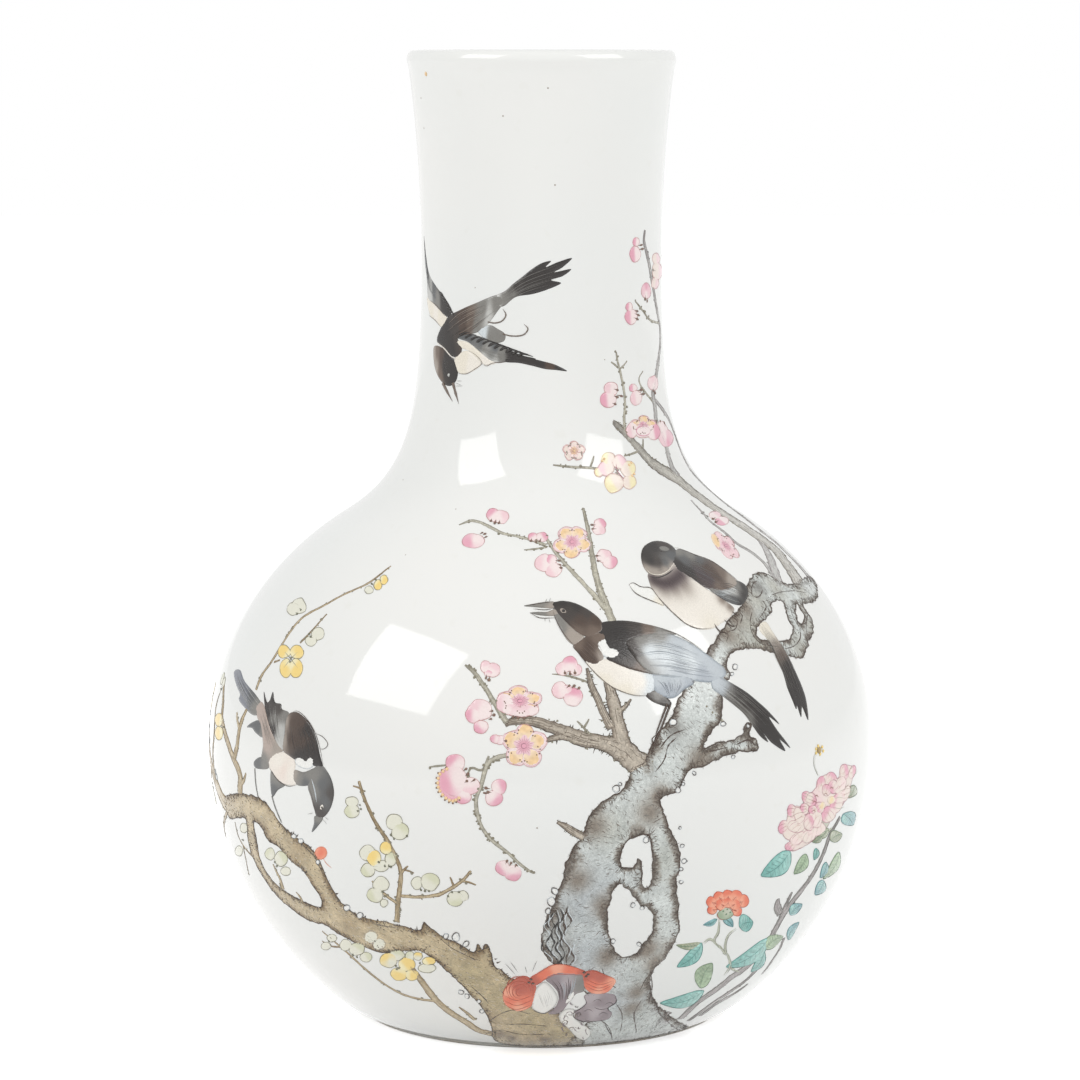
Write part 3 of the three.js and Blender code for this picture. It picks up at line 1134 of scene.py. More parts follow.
def branch(points, kind, bed=0.0, thorns=1.0, line_width=0.26):
    """One branch from (x, y, half width) pixels."""
    inner, rim, ink = branch_tints[kind]
    right, left = bough(points)
    widest = max(point[2] for point in points) * pixel_mm
    thin = widest < 1
    knots = "ash" if kind in ("grey", "violet") else "knot"
    body = np.vstack([right, left[::-1]])
    tint = mottled(pooled(rim, inner, min(1.5, widest * 0.6)), 1.1, 0.12, 5)
    bark.fill([body], tint, max(0.55, widest * 0.3), bed=bed, round_step=0.8)
    for side, outward in ((right, 1), (left, -1)):
        outlined(branch_lines, side, line_width, ink, bed + 0.02, False, 8, 0.4, 0.25 if thin else 0.1)
        if kind == "brown":
            thorny(branch_lines, side, 3.2, 0.7, 0.45, ink, bed + 0.02, outward)
        knobbly(side, 4.5 / thorns, 0.42 if thin else 0.3, knots, bed, outward)
    for share in (0.25, 0.5, 0.75) if widest > 0.9 else ():
        outlined(branch_lines, right * share + left * (1 - share), 0.2, rim, bed + 0.09, False, 3, 0.4, 0.4)
    if kind in ("brown", "old") and widest > 1.2:
        inks = ("sepia", "sepia_grey")
        hatched(branch_lines, [body], inward, 1.3, 1.1, 0.16, inks, bed + 0.09, widest * 0.5)


left_limb = at("""646,770,11 624,752,12 606,744,8 588,739,6.5 568,733,6.5 552,727,6 537,722,5.5
    520,720,4.5 505,724,3""")
limb_fork = at("600,744,5 582,742,4.5 563,736,4 545,741,2")
rising_limb = at("628,758,9 621,738,8 616,715,7 613,700,6.5 609,686,5 606,672,3.5")
rising_fork = at("612,728,5 605,716,4 598,700,3.5 591,684,3 587,668,1.5")
rising_spur = at("618,712,3 625,707,2 631,699,1")
limb_tip = at("507,723,3 500,712,2.6 492,699,2.4 484,686,2.2 474,672,2 465,665,1")
hanging_twig = at("""507,755,2.2 496,758,2.2 487,765,2.2 482,782,2.2 476,800,2 478,817,2 484,831,1.8
    494,842,1.8 508,853,1.6 522,866,1.4 533,873,0.8""")
twig_from_top = at("583,508,2 587,525,2.3 591,548,2.6 595,572,3 601,592,3.2 608,610,3.5 614,626,3.5")
twig_side = at("545,536,1.6 556,553,2 568,567,2.2 582,582,2.4 595,596,2.6 606,610,2.4")
twig_left = at("""459,525,1 470,521,1.6 479,522,1.8 490,527,1.8 502,533,1.8 516,536,1.8 531,540,1.8
    546,545,1.6""")
head_to_neck = at("""803,590,11 795,576,11 786,563,11 777,551,11.5 766,542,12 752,532,12 740,524,12
    726,515,12 712,506,11.5 700,497,11 687,487,10 676,478,9 664,471,8 651,462,7 641,451,6 633,442,5
    621,429,4.2 613,422,3""")
head_fork = at("780,588,8 776,574,7 772,563,7 767,551,6.5 760,541,5")
head_outer = at("""813,582,5 804,571,4.6 795,561,4.4 785,551,4.4 774,541,4.4 760,530,4.4 745,518,4.4
    730,507,4.2 714,494,4.2 701,482,4 690,469,4 682,454,3.8 676,438,3.6 670,422,3.4 662,409,3 655,400,2""")
head_inner = at("""778,582,3 771,573,2.8 764,563,2.8 751,552,2.8 736,543,2.8 724,532,2.6 711,522,2.6
    702,512,2.4 691,500,2""")
cut_stub = at("585,838,4 574,832,4 565,826,3 557,822,1.5")
neck_edge_twig = at("""679,476,2.4 673,469,2.2 669,458,2.2 666,445,2 661,432,2 656,420,2 655,407,2
    653,393,2 656,376,2 658,362,2 660,346,1.8 660,329,1.8 656,305,1.6 652,281,1.6 648,259,1.5 644,241,1.2
    645,230,0.8""")
neck_inner_twig = at("625,432,1.6 624,419,1.6 625,407,1.6 624,391,1.5 621,375,1.4 618,363,1.2 616,352,0.8")
small_twigs = paths("""659,323,1.4 650,320,1.2 643,311,1 635,301,0.8 / 643,448,1 643,439,0.8 / 653,402,1.3
    646,393,1.2 640,384,1.1 639,378,0.9 643,371,0.7 / 590,735,1.3 584,728,1 577,721,0.7 /
    584,728,0.9 589,719,0.6 / 592,684,1.3 582,680,1 568,676,0.9 552,674,0.6 /
    627,361,0.8 624,365,1 620,369,1 / 611,362,0.7 615,365,1 618,368,1 /
    553,465,0.8 572,467,1.2 590,468,1.4 606,470,1.4 / 590,468,1 592,462,1 594,456,0.7 /
    624,456,0.8 631,454,1 639,451,1.2 / 702,700,0.8 718,716,1 726,724,1 /
    489,756,1.2 482,770,1 471,768,1 467,779,0.7 / 430,767,0.7 438,766,0.9 446,765,0.7 /
    524,550,0.7 535,549,1.2 547,547,1.2""")

for points in (head_inner, head_outer, head_fork):
    branch(points, "grey", 0.0, 0.5, 0.17)
branch(head_to_neck, "old", 0.0, 1.3, 0.24)
branch([(x, y, half * 1.8) for x, y, half in neck_edge_twig], "grey", 0.0, 0.8, 0.16)
branch(neck_inner_twig, "olive", 0.0, 1.0, 0.16)
for points in (twig_from_top, twig_side, twig_left, hanging_twig, limb_tip):
    branch(points, "olive", 0.0, 1.3, 0.16)
for points in small_twigs:
    branch(points, "olive", 0.0, 0.8, 0.13)
for points in (rising_spur, rising_fork, limb_fork, rising_limb, left_limb, cut_stub):
    branch(points, "brown", 0.0, 1.2, 0.22)

lichen = at("""555,891,4 551,901,4.5 548,911,3.2 616,789,3.6 620,784,2 646,840,3 633,905,2.6 642,908,2.4
    613,941,2.4 639,944,2.4 682,846,2.4 684,861,2.8 681,869,1.8 681,882,2.2 680,828,1.6 678,790,2.8
    683,784,1.8 694,773,2.2 733,757,2.2 735,667,2.6 732,674,2 673,722,3.4 723,724,3 748,726,2""")


def curl(x, y, radius, tint="umber"):
    """A curl of lichen: a small open ring with a white heart."""
    loop = ring_at(x, y, radius, radius * dice.uniform(0.75, 1.1), dice.uniform(0, 6))
    loop = loop + dice.normal(0, radius * 0.08, (10, 2))
    bark.fill([seen(loop)], pooled("mist", "snow", 0.4), 0.5, bed=0.1, round_step=0.5)
    width = 0.3 if radius > 3 else 0.22
    bark_lines.draw(seen(loop[:dice.integers(8, 11)]), width, tint, 0.14, step=0.5, shake=0.4)


for spot in lichen:
    curl(*spot)

# %% [markdown]
# Four magpies: one calling and one asleep on the old trunk, one flying down round the neck, and one
# feeding on the winter plum. Each is a few soft washes, black loaded at one end and drawn out to brown
# or grey at the other, with the down left cream. Fine lines then comb the feathers. A bird is written
# as named shapes in the order in which they are laid, each with the pigments loaded into it.

# %% How a bird is laid
layer_rise = 0.005


class Motif:
    """The washes, lines and dots of one subject, which are fired together."""

    def __init__(self, name, bed=0.0):
        self.name, self.bed = name, bed
        self.washes, self.lines, self.dots = Wash(name + "_washes"), Lines(name + "_lines"), None

    def wash(self, pixels, tint, grain=0.6):
        """Fills an outline in pixels with a tint, or with pigments loaded at pixels."""
        tint = loaded(tint, 1.6) if isinstance(tint, (str, dict)) else tint
        self.washes.fill([seen(pixels)], tint, grain, bed=self.bed, round_step=0.45)
        self.bed += layer_rise

    def lay(self, shapes, **tints):
        """Washes in order: a name, the outline, and the pigments or else a tint given under that name."""
        for shape in shapes.split(";"):
            name, pixels, notes = re.match(r"\s*(\w+):([^a-z]+)(.*)", shape, re.S).groups()
            self.wash(pixels, notes or tints[name])

    def stroke(self, pixels, width, tint, taper=(0.3, 0.3), shake=0.15):
        self.lines.draw(seen(pixels), width, tint, self.bed + 0.07, taper, 0.5, shake)

    def strokes(self, text, *look):
        """Several strokes of one look, parted by slashes."""
        for path in paths(text):
            self.stroke(path, *look)

    def comb(self, first, last, count, width, tint, trim=0.25):
        """Lines that follow first, change little by little and end up following last."""
        first, last = seen(first), seen(last)
        for i in range(count):
            share = (i + dice.uniform(0.2, 0.8)) / count
            path = smooth_path(first * (1 - share) + last * share, 1.0)
            start, end = dice.uniform(0, trim, 2) * len(path)
            path = path[int(start):len(path) - int(end)]
            if len(path) > 2:
                shade = tint if isinstance(tint, str) else tint[dice.integers(len(tint))]
                self.lines.draw(path, width * dice.uniform(0.6, 1.3), shade, self.bed + 0.06, (0.4, 0.5), 0.9)

    def eye(self, ring, rim, inner, width):
        """An eye: a ring (x, y, across, up, turn) filled with a rim and an inner pigment."""
        self.washes.fill([seen(ring_at(*ring))], pooled(rim, inner, width), 0.4, bed=self.bed)

    def dot(self, pixels, radius, tint):
        if self.dots is None:
            self.dots = Touches(self.name + "_dots")
        self.dots.dab(seen(pixels), radius, tint, self.bed + 0.08)

    def fire(self, wash_finish, line_finish):
        self.washes.fire(wash_finish)
        self.lines.fire(line_finish)
        if self.dots is not None:
            self.dots.fire(line_finish)


# %% The calling magpie
calling = Motif("calling_magpie", 0.075)
# The cloud loaded into the wing and its feather lines is partly a painted highlight: the right soft box's
# sheen on the glossy enamel.
calling.lay("""
    rump: 651,675 668,676 688,676 694,683 684,690 674,698 662,697 654,690 mist 658,680 680,680 mist_dark
        664,692 688,684;
    thigh: 644,693 652,690 662,694 671,702 669,707 658,704 650,700 coal 648,697 664,703 ash 658,695;
    belly: 585,661 594,662 603,659 614,662 628,668 642,672 653,675 655,685 653,692 645,696 632,695 617,690
        604,682 594,673 cream 605,668 620,676 640,682 596,664 shell 604,680 625,691 cloud 652,688 652,678;
    tail: 713,676 722,678 733,684 746,692 757,701 768,711 779,724 769,717 777,730 784,739 790,748 780,740
        785,751 772,743 764,734 768,742 760,736 752,725 744,714 735,706 725,698 712,688 mist 716,682
        722,688 ash 730,696 738,705 748,716 soot 740,692 752,704 760,715 770,725 780,742 764,732;
    wing: 625,641 637,636 650,633 662,632 676,636 690,643 701,650 713,659 724,668 725,676 714,682 700,682
        685,679 668,676 652,674 641,666 633,654 coal 627,645 634,656 ash 642,637 658,633 640,662 cloud
        650,652 668,656 690,664 mist 676,646 700,654 712,668 684,676 mist_dark 704,674;
    mantle: 600,624 612,621 628,621 645,624 661,628 676,634 662,635 650,635 637,638 627,643 634,656 642,666
        652,674 640,672 628,669 616,664 607,659 604,646 598,636 soot 608,630 620,632 612,645 624,652 coal
        636,628 630,660 sepia 648,630 640,669 ash 662,632 650,673;
    breast: 573,646 580,640 590,635 600,632 606,636 604,648 603,659 596,665 586,662 578,653 umber 582,655
        592,661 588,646 sepia 598,640 580,646 taupe 602,656;
    patch: 596,645 599,640 605,638 608,643 610,647 615,648 620,652 618,657 612,659 605,657 599,652;
    throat: 553,612 560,614 568,624 577,632 584,637 580,642 574,645 567,640 561,630 556,620 taupe 570,634
        576,640 ash 558,617 562,630;
    upper_beak: 524,606 533,604 545,602 554,602 556,608 545,608 533,607 ash 526,606 545,604 taupe 548,607;
    lower_beak: 530,613 538,612 547,612 556,609 558,615 548,616 538,615 ash 532,613 545,615 taupe 550,612;
    head: 551,604 556,602 563,601 574,603 585,608 594,614 601,621 603,628 600,633 592,637 584,636 576,631
        567,623 558,615 soot 553,604 563,602 576,605 coal 588,612 570,612 560,612 umber 596,620 580,622
        sepia 594,632 578,630
""", patch=pooled("cloud", "snow", 0.5))
calling.comb("630,645 655,640 680,646 705,658", "650,670 668,671 690,675 715,678", 26, 0.16,
    ("slate_blue", "cloud", "mist_dark"), 0.45)
calling.comb("655,680 662,686 668,696", "684,679 682,686 676,696", 10, 0.14, "slate_blue")
calling.comb("604,626 628,623 652,628", "608,650 622,655 640,668", 16, 0.15, "soot", 0.4)
calling.comb("722,680 745,695 776,722", "716,690 742,712 762,736", 16, 0.16, ("ash", "coal"))
calling.comb("556,604 575,608 598,622", "560,614 574,628 590,636", 12, 0.12, "soot", 0.4)
calling.comb("576,648 586,658 596,664", "592,638 600,646 604,658", 12, 0.12, ("coal", "sepia"))
calling.strokes("""661,629 676,634 690,642 703,651 / 553,611 556,620 563,633 574,646 /
    574,646 582,658 596,674 612,687 632,695 648,696 / 524,606 538,604 552,602 / 533,609 545,610 553,609 /
    530,613 540,618 556,618 / 652,674 640,671 622,666 607,659""", 0.24, "umber")
calling.strokes("670,705 665,718 660,731 654,745 651,756 / 667,704 661,720 655,736", (0.75, 0.45), "umber",
    (0, 0.2))
calling.strokes("545,603 547,599 / 549,602 551,598 / 545,618 545,622 / 549,619 550,623", 0.14, "ash")
calling.stroke("657,734 652,739 654,745 660,744 661,738", 0.4, "umber")
calling.eye((563, 611, 4.8, 3.4, 0.4), "ash", "taupe", 0.5)
calling.dot([(563.5, 611)], 0.62, "soot")
calling.fire(plumage_enamel, ink_enamel)

# %% The sleeping magpie
asleep = Motif("sleeping_magpie", 0.075)
bib = smooth_path(at("654,580 662,583 668,583 674,580 680,575"), 2.5)
asleep_down = stained(plain("cream"), "taupe", [*bib, (664, 588), (674, 588), (684, 586)], 9, 0.9)
asleep_down = stained(asleep_down, "plum_black", bib, 6.5, 1.0)
asleep_down = stained(stained(asleep_down, "sepia", "730,607 722,600", 5, 0.8), "shell", [(712, 626)],
    9, 0.8)
asleep.lay("""
    tail: 760,624 766,622 772,631 780,643 789,658 796,673 802,687 806,700 808,720 802,707 801,717 797,706
        796,709 791,697 787,687 783,673 777,660 772,647 766,638 760,631 shell 763,627 768,635 taupe 775,647
        sepia 780,655 soot 788,668 792,680 800,700 803,710;
    far_wing: 629,585 633,583 641,587 650,588 656,594 664,606 654,602 642,597 634,592 snow 638,588 650,596
        shell 658,602;
    belly: 648,574 658,573 668,566 676,561 684,566 690,574 696,581 705,588 716,595 728,603 734,609 731,616
        722,623 711,629 699,629 686,624 674,614 665,605 657,596 651,587;
    shadow: 708,586 720,583 733,580 744,584 748,592 746,600 741,605 733,604 722,599 712,592 cloud_grey
        724,588 732,590 ash 714,588 738,586 slate 722,598 736,602 soot 743,588 746,597 740,604;
    back: 671,556 679,549 690,553 700,557 711,561 719,566 728,573 736,580 738,585 732,590 722,592 712,590
        704,587 694,581 684,575 675,568 ash 678,552 690,555 slate 684,560 700,562 soot 680,566 690,573
        plum_black 700,574 710,580 umber 706,568 716,576 sepia 722,574 718,586 taupe 730,580;
    head: 641,556 643,548 649,543 657,541 667,543 674,548 677,555 674,564 669,571 662,575 654,575 648,573
        643,566 soot 645,553 652,546 650,560 coal 665,546 658,562 slate 671,555 666,563 taupe 657,574
        666,571 649,572 671,567
""", belly=asleep_down)
asleep.comb("676,557 700,561 736,582", "676,568 690,579 722,594", 22, 0.15, ("coal", "slate", "umber"),
    0.45)
asleep.comb("712,585 720,590 734,587", "712,592 722,596 740,591", 6, 0.18, "cloud", 0.2)
asleep.comb("762,622 782,648 807,716", "758,622 774,655 795,700", 14, 0.15, ("ash", "coal"))
asleep.comb("645,550 655,543 670,545", "648,570 658,572 670,566", 12, 0.12, "soot", 0.4)
asleep.comb("652,580 656,586 662,592", "678,573 684,580 690,586", 12, 0.1, "umber")
asleep.comb("712,592 722,600 738,605", "720,583 732,584 745,592", 9, 0.2, ("soot", "cloud_grey"))
asleep.strokes("""629,585 633,583 641,587 650,588 656,594 / 629,585 634,592 642,597 654,602 664,606 /
    651,587 657,596 665,605 674,614 686,624 699,629 712,628 /
    674,548 680,549 695,555 711,561 728,573 740,583""", 0.3, "umber")
asleep.stroke("648,576 656,578 666,575 674,569", 0.45, "soot")
asleep.stroke("645,568 651,574 660,575 668,571 673,565", 0.4, "shell")
asleep.strokes("714,624 719,631 726,633 / 724,620 731,626 736,626 / 732,612 738,616", 0.6, "umber")
asleep.eye((664, 549, 6.4, 3.2, 0.25), "slate", "ash", 0.9)
asleep.stroke("658,549 662,552 668,552", 0.3, "coal")
asleep.fire(plumage_enamel, ink_enamel)

# %% The flying magpie
flying = Motif("flying_magpie")
flying.lay("""
    far_wing: 424,236 426,255 429,273 436,286 443,295 449,304 452,312 447,317 440,311 433,304 428,298
        427,280 425,262 cloud_grey 430,299 431,291 slate 427,265 434,285 soot 424,240 443,297 449,309 ash
        438,303;
    far_down: 427,298 434,303 441,311 447,318 442,327 436,321 430,315 shell 432,308 440,318 cream 436,313;
    tail: 494,297 505,291 513,284 522,277 532,269 542,263 551,261 546,267 558,262 572,258 563,267 555,272
        571,269 563,276 551,280 561,283 549,289 533,294 516,297 504,306 496,306 cloud_grey 496,301 ash
        506,298 514,292 soot 515,285 530,275 540,284 550,275 560,266 528,292;
    thigh: 478,331 489,325 498,329 505,334 504,341 494,343 484,338 cloud 484,331 ash 500,336 490,340;
    body: 437,341 440,330 448,317 460,310 476,303 497,295 504,301 497,312 488,324 478,332 466,335 458,338
        462,348 459,357 452,356 444,348 soot 441,338 447,328 452,350 coal 452,318 457,335 umber 463,315
        462,328 sepia 471,320 ash 484,308 476,328 497,302 cloud_grey 488,317;
    near_wing: 458,338 468,334 485,338 497,343 508,349 521,355 536,359 521,361 507,362 496,363 486,358
        478,350 468,342 slate 466,337 482,341 496,347 soot 512,354 526,358 ash 484,348 500,354 cloud_grey
        484,354 496,360;
    near_down: 456,341 467,342 479,351 488,358 496,363 485,365 477,358 469,351 460,347 shell 464,344
        476,353 cream 486,361;
    breast: 454,360 462,352 470,352 481,363 475,370 465,374 457,371 shell 466,356 462,370 cream 470,364;
    primaries: 504,358 520,358 533,359 546,362 556,365 567,371 556,370 545,369 533,366 519,363 506,362 soot
        512,360 540,365 560,369 umber 550,366;
    head: 434,347 441,347 450,355 456,362 458,372 456,381 450,386 443,383 437,374 434,362 taupe 434,356
        436,368 sepia 438,350 441,379 soot 447,357 452,368 453,379 445,366 umber 442,352
""")
for i in range(11):
    share = i / 10
    root = np.array((459, 336)) * (1 - share) + np.array((517, 357)) * share
    tip = root + (11 + 5 * share, -3.4 + 3 * share)
    flying.stroke([root, root + (6, -3.2), tip], 0.85, "soot", (0.1, 0.7))
for i in range(6):
    root = np.array((439 + 2 * i, 292 + 3.6 * i))
    flying.stroke([root, root + (3.4, 2.2), root + (5, 6)], 0.8, "soot", (0.1, 0.7))
flying.comb("500,297 525,277 566,261", "504,302 530,291 556,284", 14, 0.13, ("ash", "coal"))
flying.comb("442,330 460,312 495,298", "452,340 470,333 496,312", 26, 0.13,
    ("coal", "umber", "sepia", "taupe"), 0.5)
flying.comb("470,341 490,350 512,356", "484,354 496,360 510,361", 9, 0.14, "ash")
flying.comb("425,245 429,275 441,297", "427,270 429,288 438,304", 8, 0.13, ("slate", "ash"))
flying.comb("438,350 440,365 447,383", "450,357 456,368 454,382", 10, 0.12, ("coal", "soot"), 0.4)
flying.stroke("437,342 444,348 451,356 457,360", 0.5, "cream")
flying.strokes("""429,315 435,320 441,327 / 457,373 466,374 475,369 482,363 476,355 469,351 /
    482,364 487,366 493,363 506,362 / 430,300 437,306 445,316""", 0.2, "sepia")
flying.strokes("488,322 495,323 502,321 506,315 503,309 / 503,334 512,336 523,335 528,329 524,324", 0.42,
    "sepia", (0, 0.2))
flying.strokes("443,383 448,393 453,402 / 453,383 456,394 459,404", (1.3, 0.5), "sepia", (0, 0.5))
flying.strokes("456,383 461,385 / 456,386 463,386 / 457,381 462,381", 0.14, "ash")
flying.dot([(449, 375)], 0.62, "cloud_grey")
flying.fire(plumage_enamel, ink_enamel)

# %% The feeding magpie
feeding = Motif("feeding_magpie", 0.02)
feeding.lay("""
    tail: 234,672 240,670 244,680 250,688 256,695 262,705 259,714 253,715 246,709 239,700 240,694 236,684
        slate_blue 238,678 246,692 244,702 slate 252,694 ash 256,708;
    tuft: 247,727 253,722 261,721 263,737 256,733 252,728 slate 250,727 258,730 ash 262,733;
    flank: 256,706 262,702 267,714 271,730 279,744 283,750 276,762 267,768 261,762 263,745 261,728 257,716
        taupe_pink 262,712 266,728 268,745 taupe 276,752 ash 263,760;
    belly: 268,763 276,752 286,753 295,761 295,772 297,784 287,785 278,780 cream 280,762 290,774 cream_pink
        284,770;
    thigh: 254,762 261,757 269,764 267,769 256,768 slate 257,765 ash 266,766;
    near_thigh: 271,771 278,779 285,785 278,790 272,796 ash 275,778 slate 274,790;
    wing: 264,692 267,702 270,700 273,692 275,702 281,704 282,709 289,713 287,724 286,738 283,750 277,744
        271,730 266,714 soot 265,698 274,697 267,712 272,730 coal 280,708 270,706 ash 273,720 284,716
        cloud_grey 281,730 279,740;
    body: 287,716 296,712 305,718 312,727 317,741 320,755 323,768 315,766 304,764 296,760 288,755 282,748
        284,733 taupe 286,722 283,740 umber 293,722 292,740 301,724 304,742 soot 307,731 318,758 302,757
        308,748;
    patch: 295,761 298,756 303,757 306,760 309,756 314,758 314,765 309,769 302,768 297,765;
    collar: 295,770 304,772 314,768 320,766 318,776 311,784 303,786 296,784 293,777 ash 300,777 310,775
        slate 306,783 taupe 295,774;
    head: 313,769 321,765 327,771 332,781 334,794 331,807 325,816 318,818 314,808 311,797 308,787 310,777
        slate 322,785 326,800 ash 315,776 314,790 coal 331,795 320,815;
    beak: 315,816 323,818 318,826 312,832 314,824 slate 316,828 ash 318,818
""", patch=pooled("cloud", "snow", 0.5))
feeding.comb("240,673 248,688 261,706", "235,676 241,694 252,712", 9, 0.16, ("slate", "cloud_grey"))
feeding.comb("266,697 269,720 277,741", "287,716 286,728 284,746", 14, 0.15, ("coal", "cloud_grey"))
feeding.comb("288,720 287,738 290,754", "306,721 317,742 321,764", 24, 0.14, ("soot", "umber"), 0.5)
feeding.comb("258,710 264,730 268,760", "264,706 270,732 278,750", 8, 0.12, "ash", 0.4)
feeding.strokes("""264,693 266,710 271,729 278,744 / 269,767 278,780 288,786 297,785 /
    315,733 323,737 328,744 324,749 318,748 / 288,716 297,711 307,719 315,732 320,748 324,768 /
    309,785 313,800 316,815""", 0.22, "umber")
feeding.stroke("312,779 315,790 317,802", 0.55, "cloud")
feeding.strokes("255,768 256,784 259,800 / 272,796 276,809 282,823", 0.5, "ash", (0, 0.1))
feeding.strokes("325,817 329,820 / 323,819 327,824 / 313,813 308,814", 0.14, "ash")
feeding.eye((322, 807, 2.6, 3.6, 0.2), "cloud", "cream", 0.4)
feeding.dot([(322.3, 807.5)], 0.45, "soot")
feeding.fire(plumage_enamel, ink_enamel)

# %% [markdown]
# Plum blossom is painted by rule, so it is built by rule: round petals in milky pink with a fine
# outline, an amber lobe on each for the stamens, a pink star for the heart with fine rays, and brown
# dots of pollen. A turned blossom or a bud is a few round petals, deeper pink at the tip or the base,
# and the dark dots of its calyx. The winter plum's waxy flowers follow the same rules in pale green.

# %% Petals and flowers
flower_paints = {
    # petals from pale to deep, the outline, the dots, the veins, the halo, the heart
    "plum": (("petal_white", "rose_pale", "rose"), "petal_line", "calyx", None, ("honey", "amber"),
        ("rose_pale", "rose")),
    "faint": (("cream_pink", "blush", "rose_pale"), "petal_line", "taupe", None, ("blush", "cream_pink"),
        ("honey", "amber")),
    "waxy": (("celadon_pale", "celadon", "lemon"), "wax_line", "wax_calyx", None, ("primrose", "lemon"),
        ("honey", "lemon")),
    "red": (("coral_light", "coral", "coral"), "brick", "calyx", "brick", None, None),
    "pale": (("cream_pink", "blush", "rose"), "plum_soft", "taupe", "peach_line", None, None),
}


class Flowers(Motif):
    """The blossoms of one plant. Each is given in pixels."""

    def __init__(self, name, paints, bed=0.0):
        super().__init__(name, bed)
        self.start = bed
        self.petals, self.ink, self.calyx, self.vein, self.halo, self.heart = flower_paints[paints]
        self.bract, self.edge = ((1.4, 2.4), 0.2) if paints == "waxy" else ((2.5, 4.5), 0.14)

    def shape(self, pixels, tint, outline=True):
        """A wash with a fine line round it."""
        self.wash(pixels, tint, 0.5)
        if outline:
            outlined(self.lines, seen(pixels), self.edge, self.ink, self.bed + 0.03, True, 9, 0.2, 0.02)

    def petal(self, x, y, across, up, blush, source, lean=0.0):
        """A round petal. Blush 1 or 2 deepens its tip, -1 or -2 its base, and 3 is yellow all over."""
        way = np.subtract((x, y), source)
        way = way / max(np.hypot(*way), 1e-9) * min(across, up) * math.copysign(0.8, blush)
        whole = blush == 3
        pale, deep = ("primrose", "lemon") if whole else (self.petals[0], self.petals[abs(blush)])
        notes = {pale: [(x, y) - way * (1.2 if whole else 0.6)], deep: [(x, y) + way * (0.2 if whole else 1)]}
        ring = ring_at(x, y, across, up, lean) + dice.normal(0, 0.045 * min(across, up), (10, 2))
        self.shape(ring, loaded(notes, 0.9))
        for turn in (-0.5, 0, 0.5) if self.vein else ():
            away = np.array((way[0] - way[1] * turn, way[1] + way[0] * turn)) * math.copysign(0.9, blush)
            self.stroke([(x, y) - away, (x, y) - away * dice.uniform(-0.3, 0.3)], 0.13, self.vein)

    def turned(self, petals, calyx):
        """A blossom from the side, or a bud."""
        self.bed = self.start
        for petal in petals:
            self.petal(*petal, source=np.mean(calyx, axis=0))
        middle = np.mean(calyx, axis=0)
        for spot in calyx:
            self.dot([spot], dice.uniform(0.38, 0.6) * (0.8 if self.edge > 0.15 else 1), self.calyx)
            reach = np.mean([petal[:2] for petal in petals], axis=0) - middle
            reach = reach / max(np.hypot(*reach), 1) * dice.uniform(*self.bract)
            self.stroke([spot - reach * 0.4, spot + reach], (0.62, 0.25), self.calyx, (0, 0.5))

    def sprig(self, buds):
        """Turned blossoms, one a line: petals (x, y, across, up, blush), a slash and the calyx's dots."""
        for bud in buds.strip().splitlines():
            self.turned(*paths(bud))

    def open(self, x, y, radius, tall=1.0, turn=90, lean=0.0, count=5):
        """A blossom from the front. Tall flattens it, and lean turns the flattened shape."""
        self.bed = self.start
        cos, sin = math.cos(math.radians(lean)), math.sin(math.radians(lean))
        angles = np.radians(turn + np.arange(count) * 360 / count) + dice.normal(0, 0.07, count)

        def out(angle, reach):
            flat, high = math.cos(angle) * reach * radius, math.sin(angle) * reach * radius * tall
            return x + flat * cos - high * sin, y - flat * sin - high * cos

        def round_at(angle, reach, size):
            size = size * radius * dice.uniform(0.94, 1.06)
            loop = ring_at(*out(angle, reach), size, size * tall, -math.radians(lean))
            return loop + dice.normal(0, 0.05 * size * tall, (10, 2))

        for angle in angles:
            self.shape(round_at(angle, 0.58, 0.45), pooled(self.petals[1], self.petals[0], 1.0))
        for angle in angles:
            halo = {self.halo[0]: [out(angle, 0.4)], self.halo[1]: [out(angle, 0.8)]}
            self.shape(round_at(angle, 0.61, 0.37), mottled(loaded(halo, 1.2), 1.2, 0.05))
        around = np.linspace(0, 2 * math.pi, count * 6, endpoint=False)
        star = [out(a + angles[0], 0.36 + 0.2 * abs(math.cos(count * a / 2)) ** 1.5) for a in around]
        heart = {self.heart[1]: [(x, y)], self.heart[0]: [out(angle, 0.5) for angle in angles]}
        self.shape(star, loaded(heart, 1.0), False)
        for angle in angles:
            for offset, reach in ((0, 0.5), (-0.3, 0.36), (0.3, 0.36), (math.pi / count, 0.42)):
                self.stroke([out(angle + offset, 0.14), out(angle + offset, reach)], 0.14, "plum_soft")
            for offset in (-0.85, 0.85, -0.62, 0.62):
                self.dot([out(angle + offset * math.pi / count, dice.uniform(0.62, 0.8))], 0.24, self.calyx)
        self.stroke(ring_at(x, y, radius * 0.12, radius * 0.12 * tall)[[*range(10), 0]], 0.2, "plum")

    def close(self):
        self.fire(petal_enamel, ink_enamel)


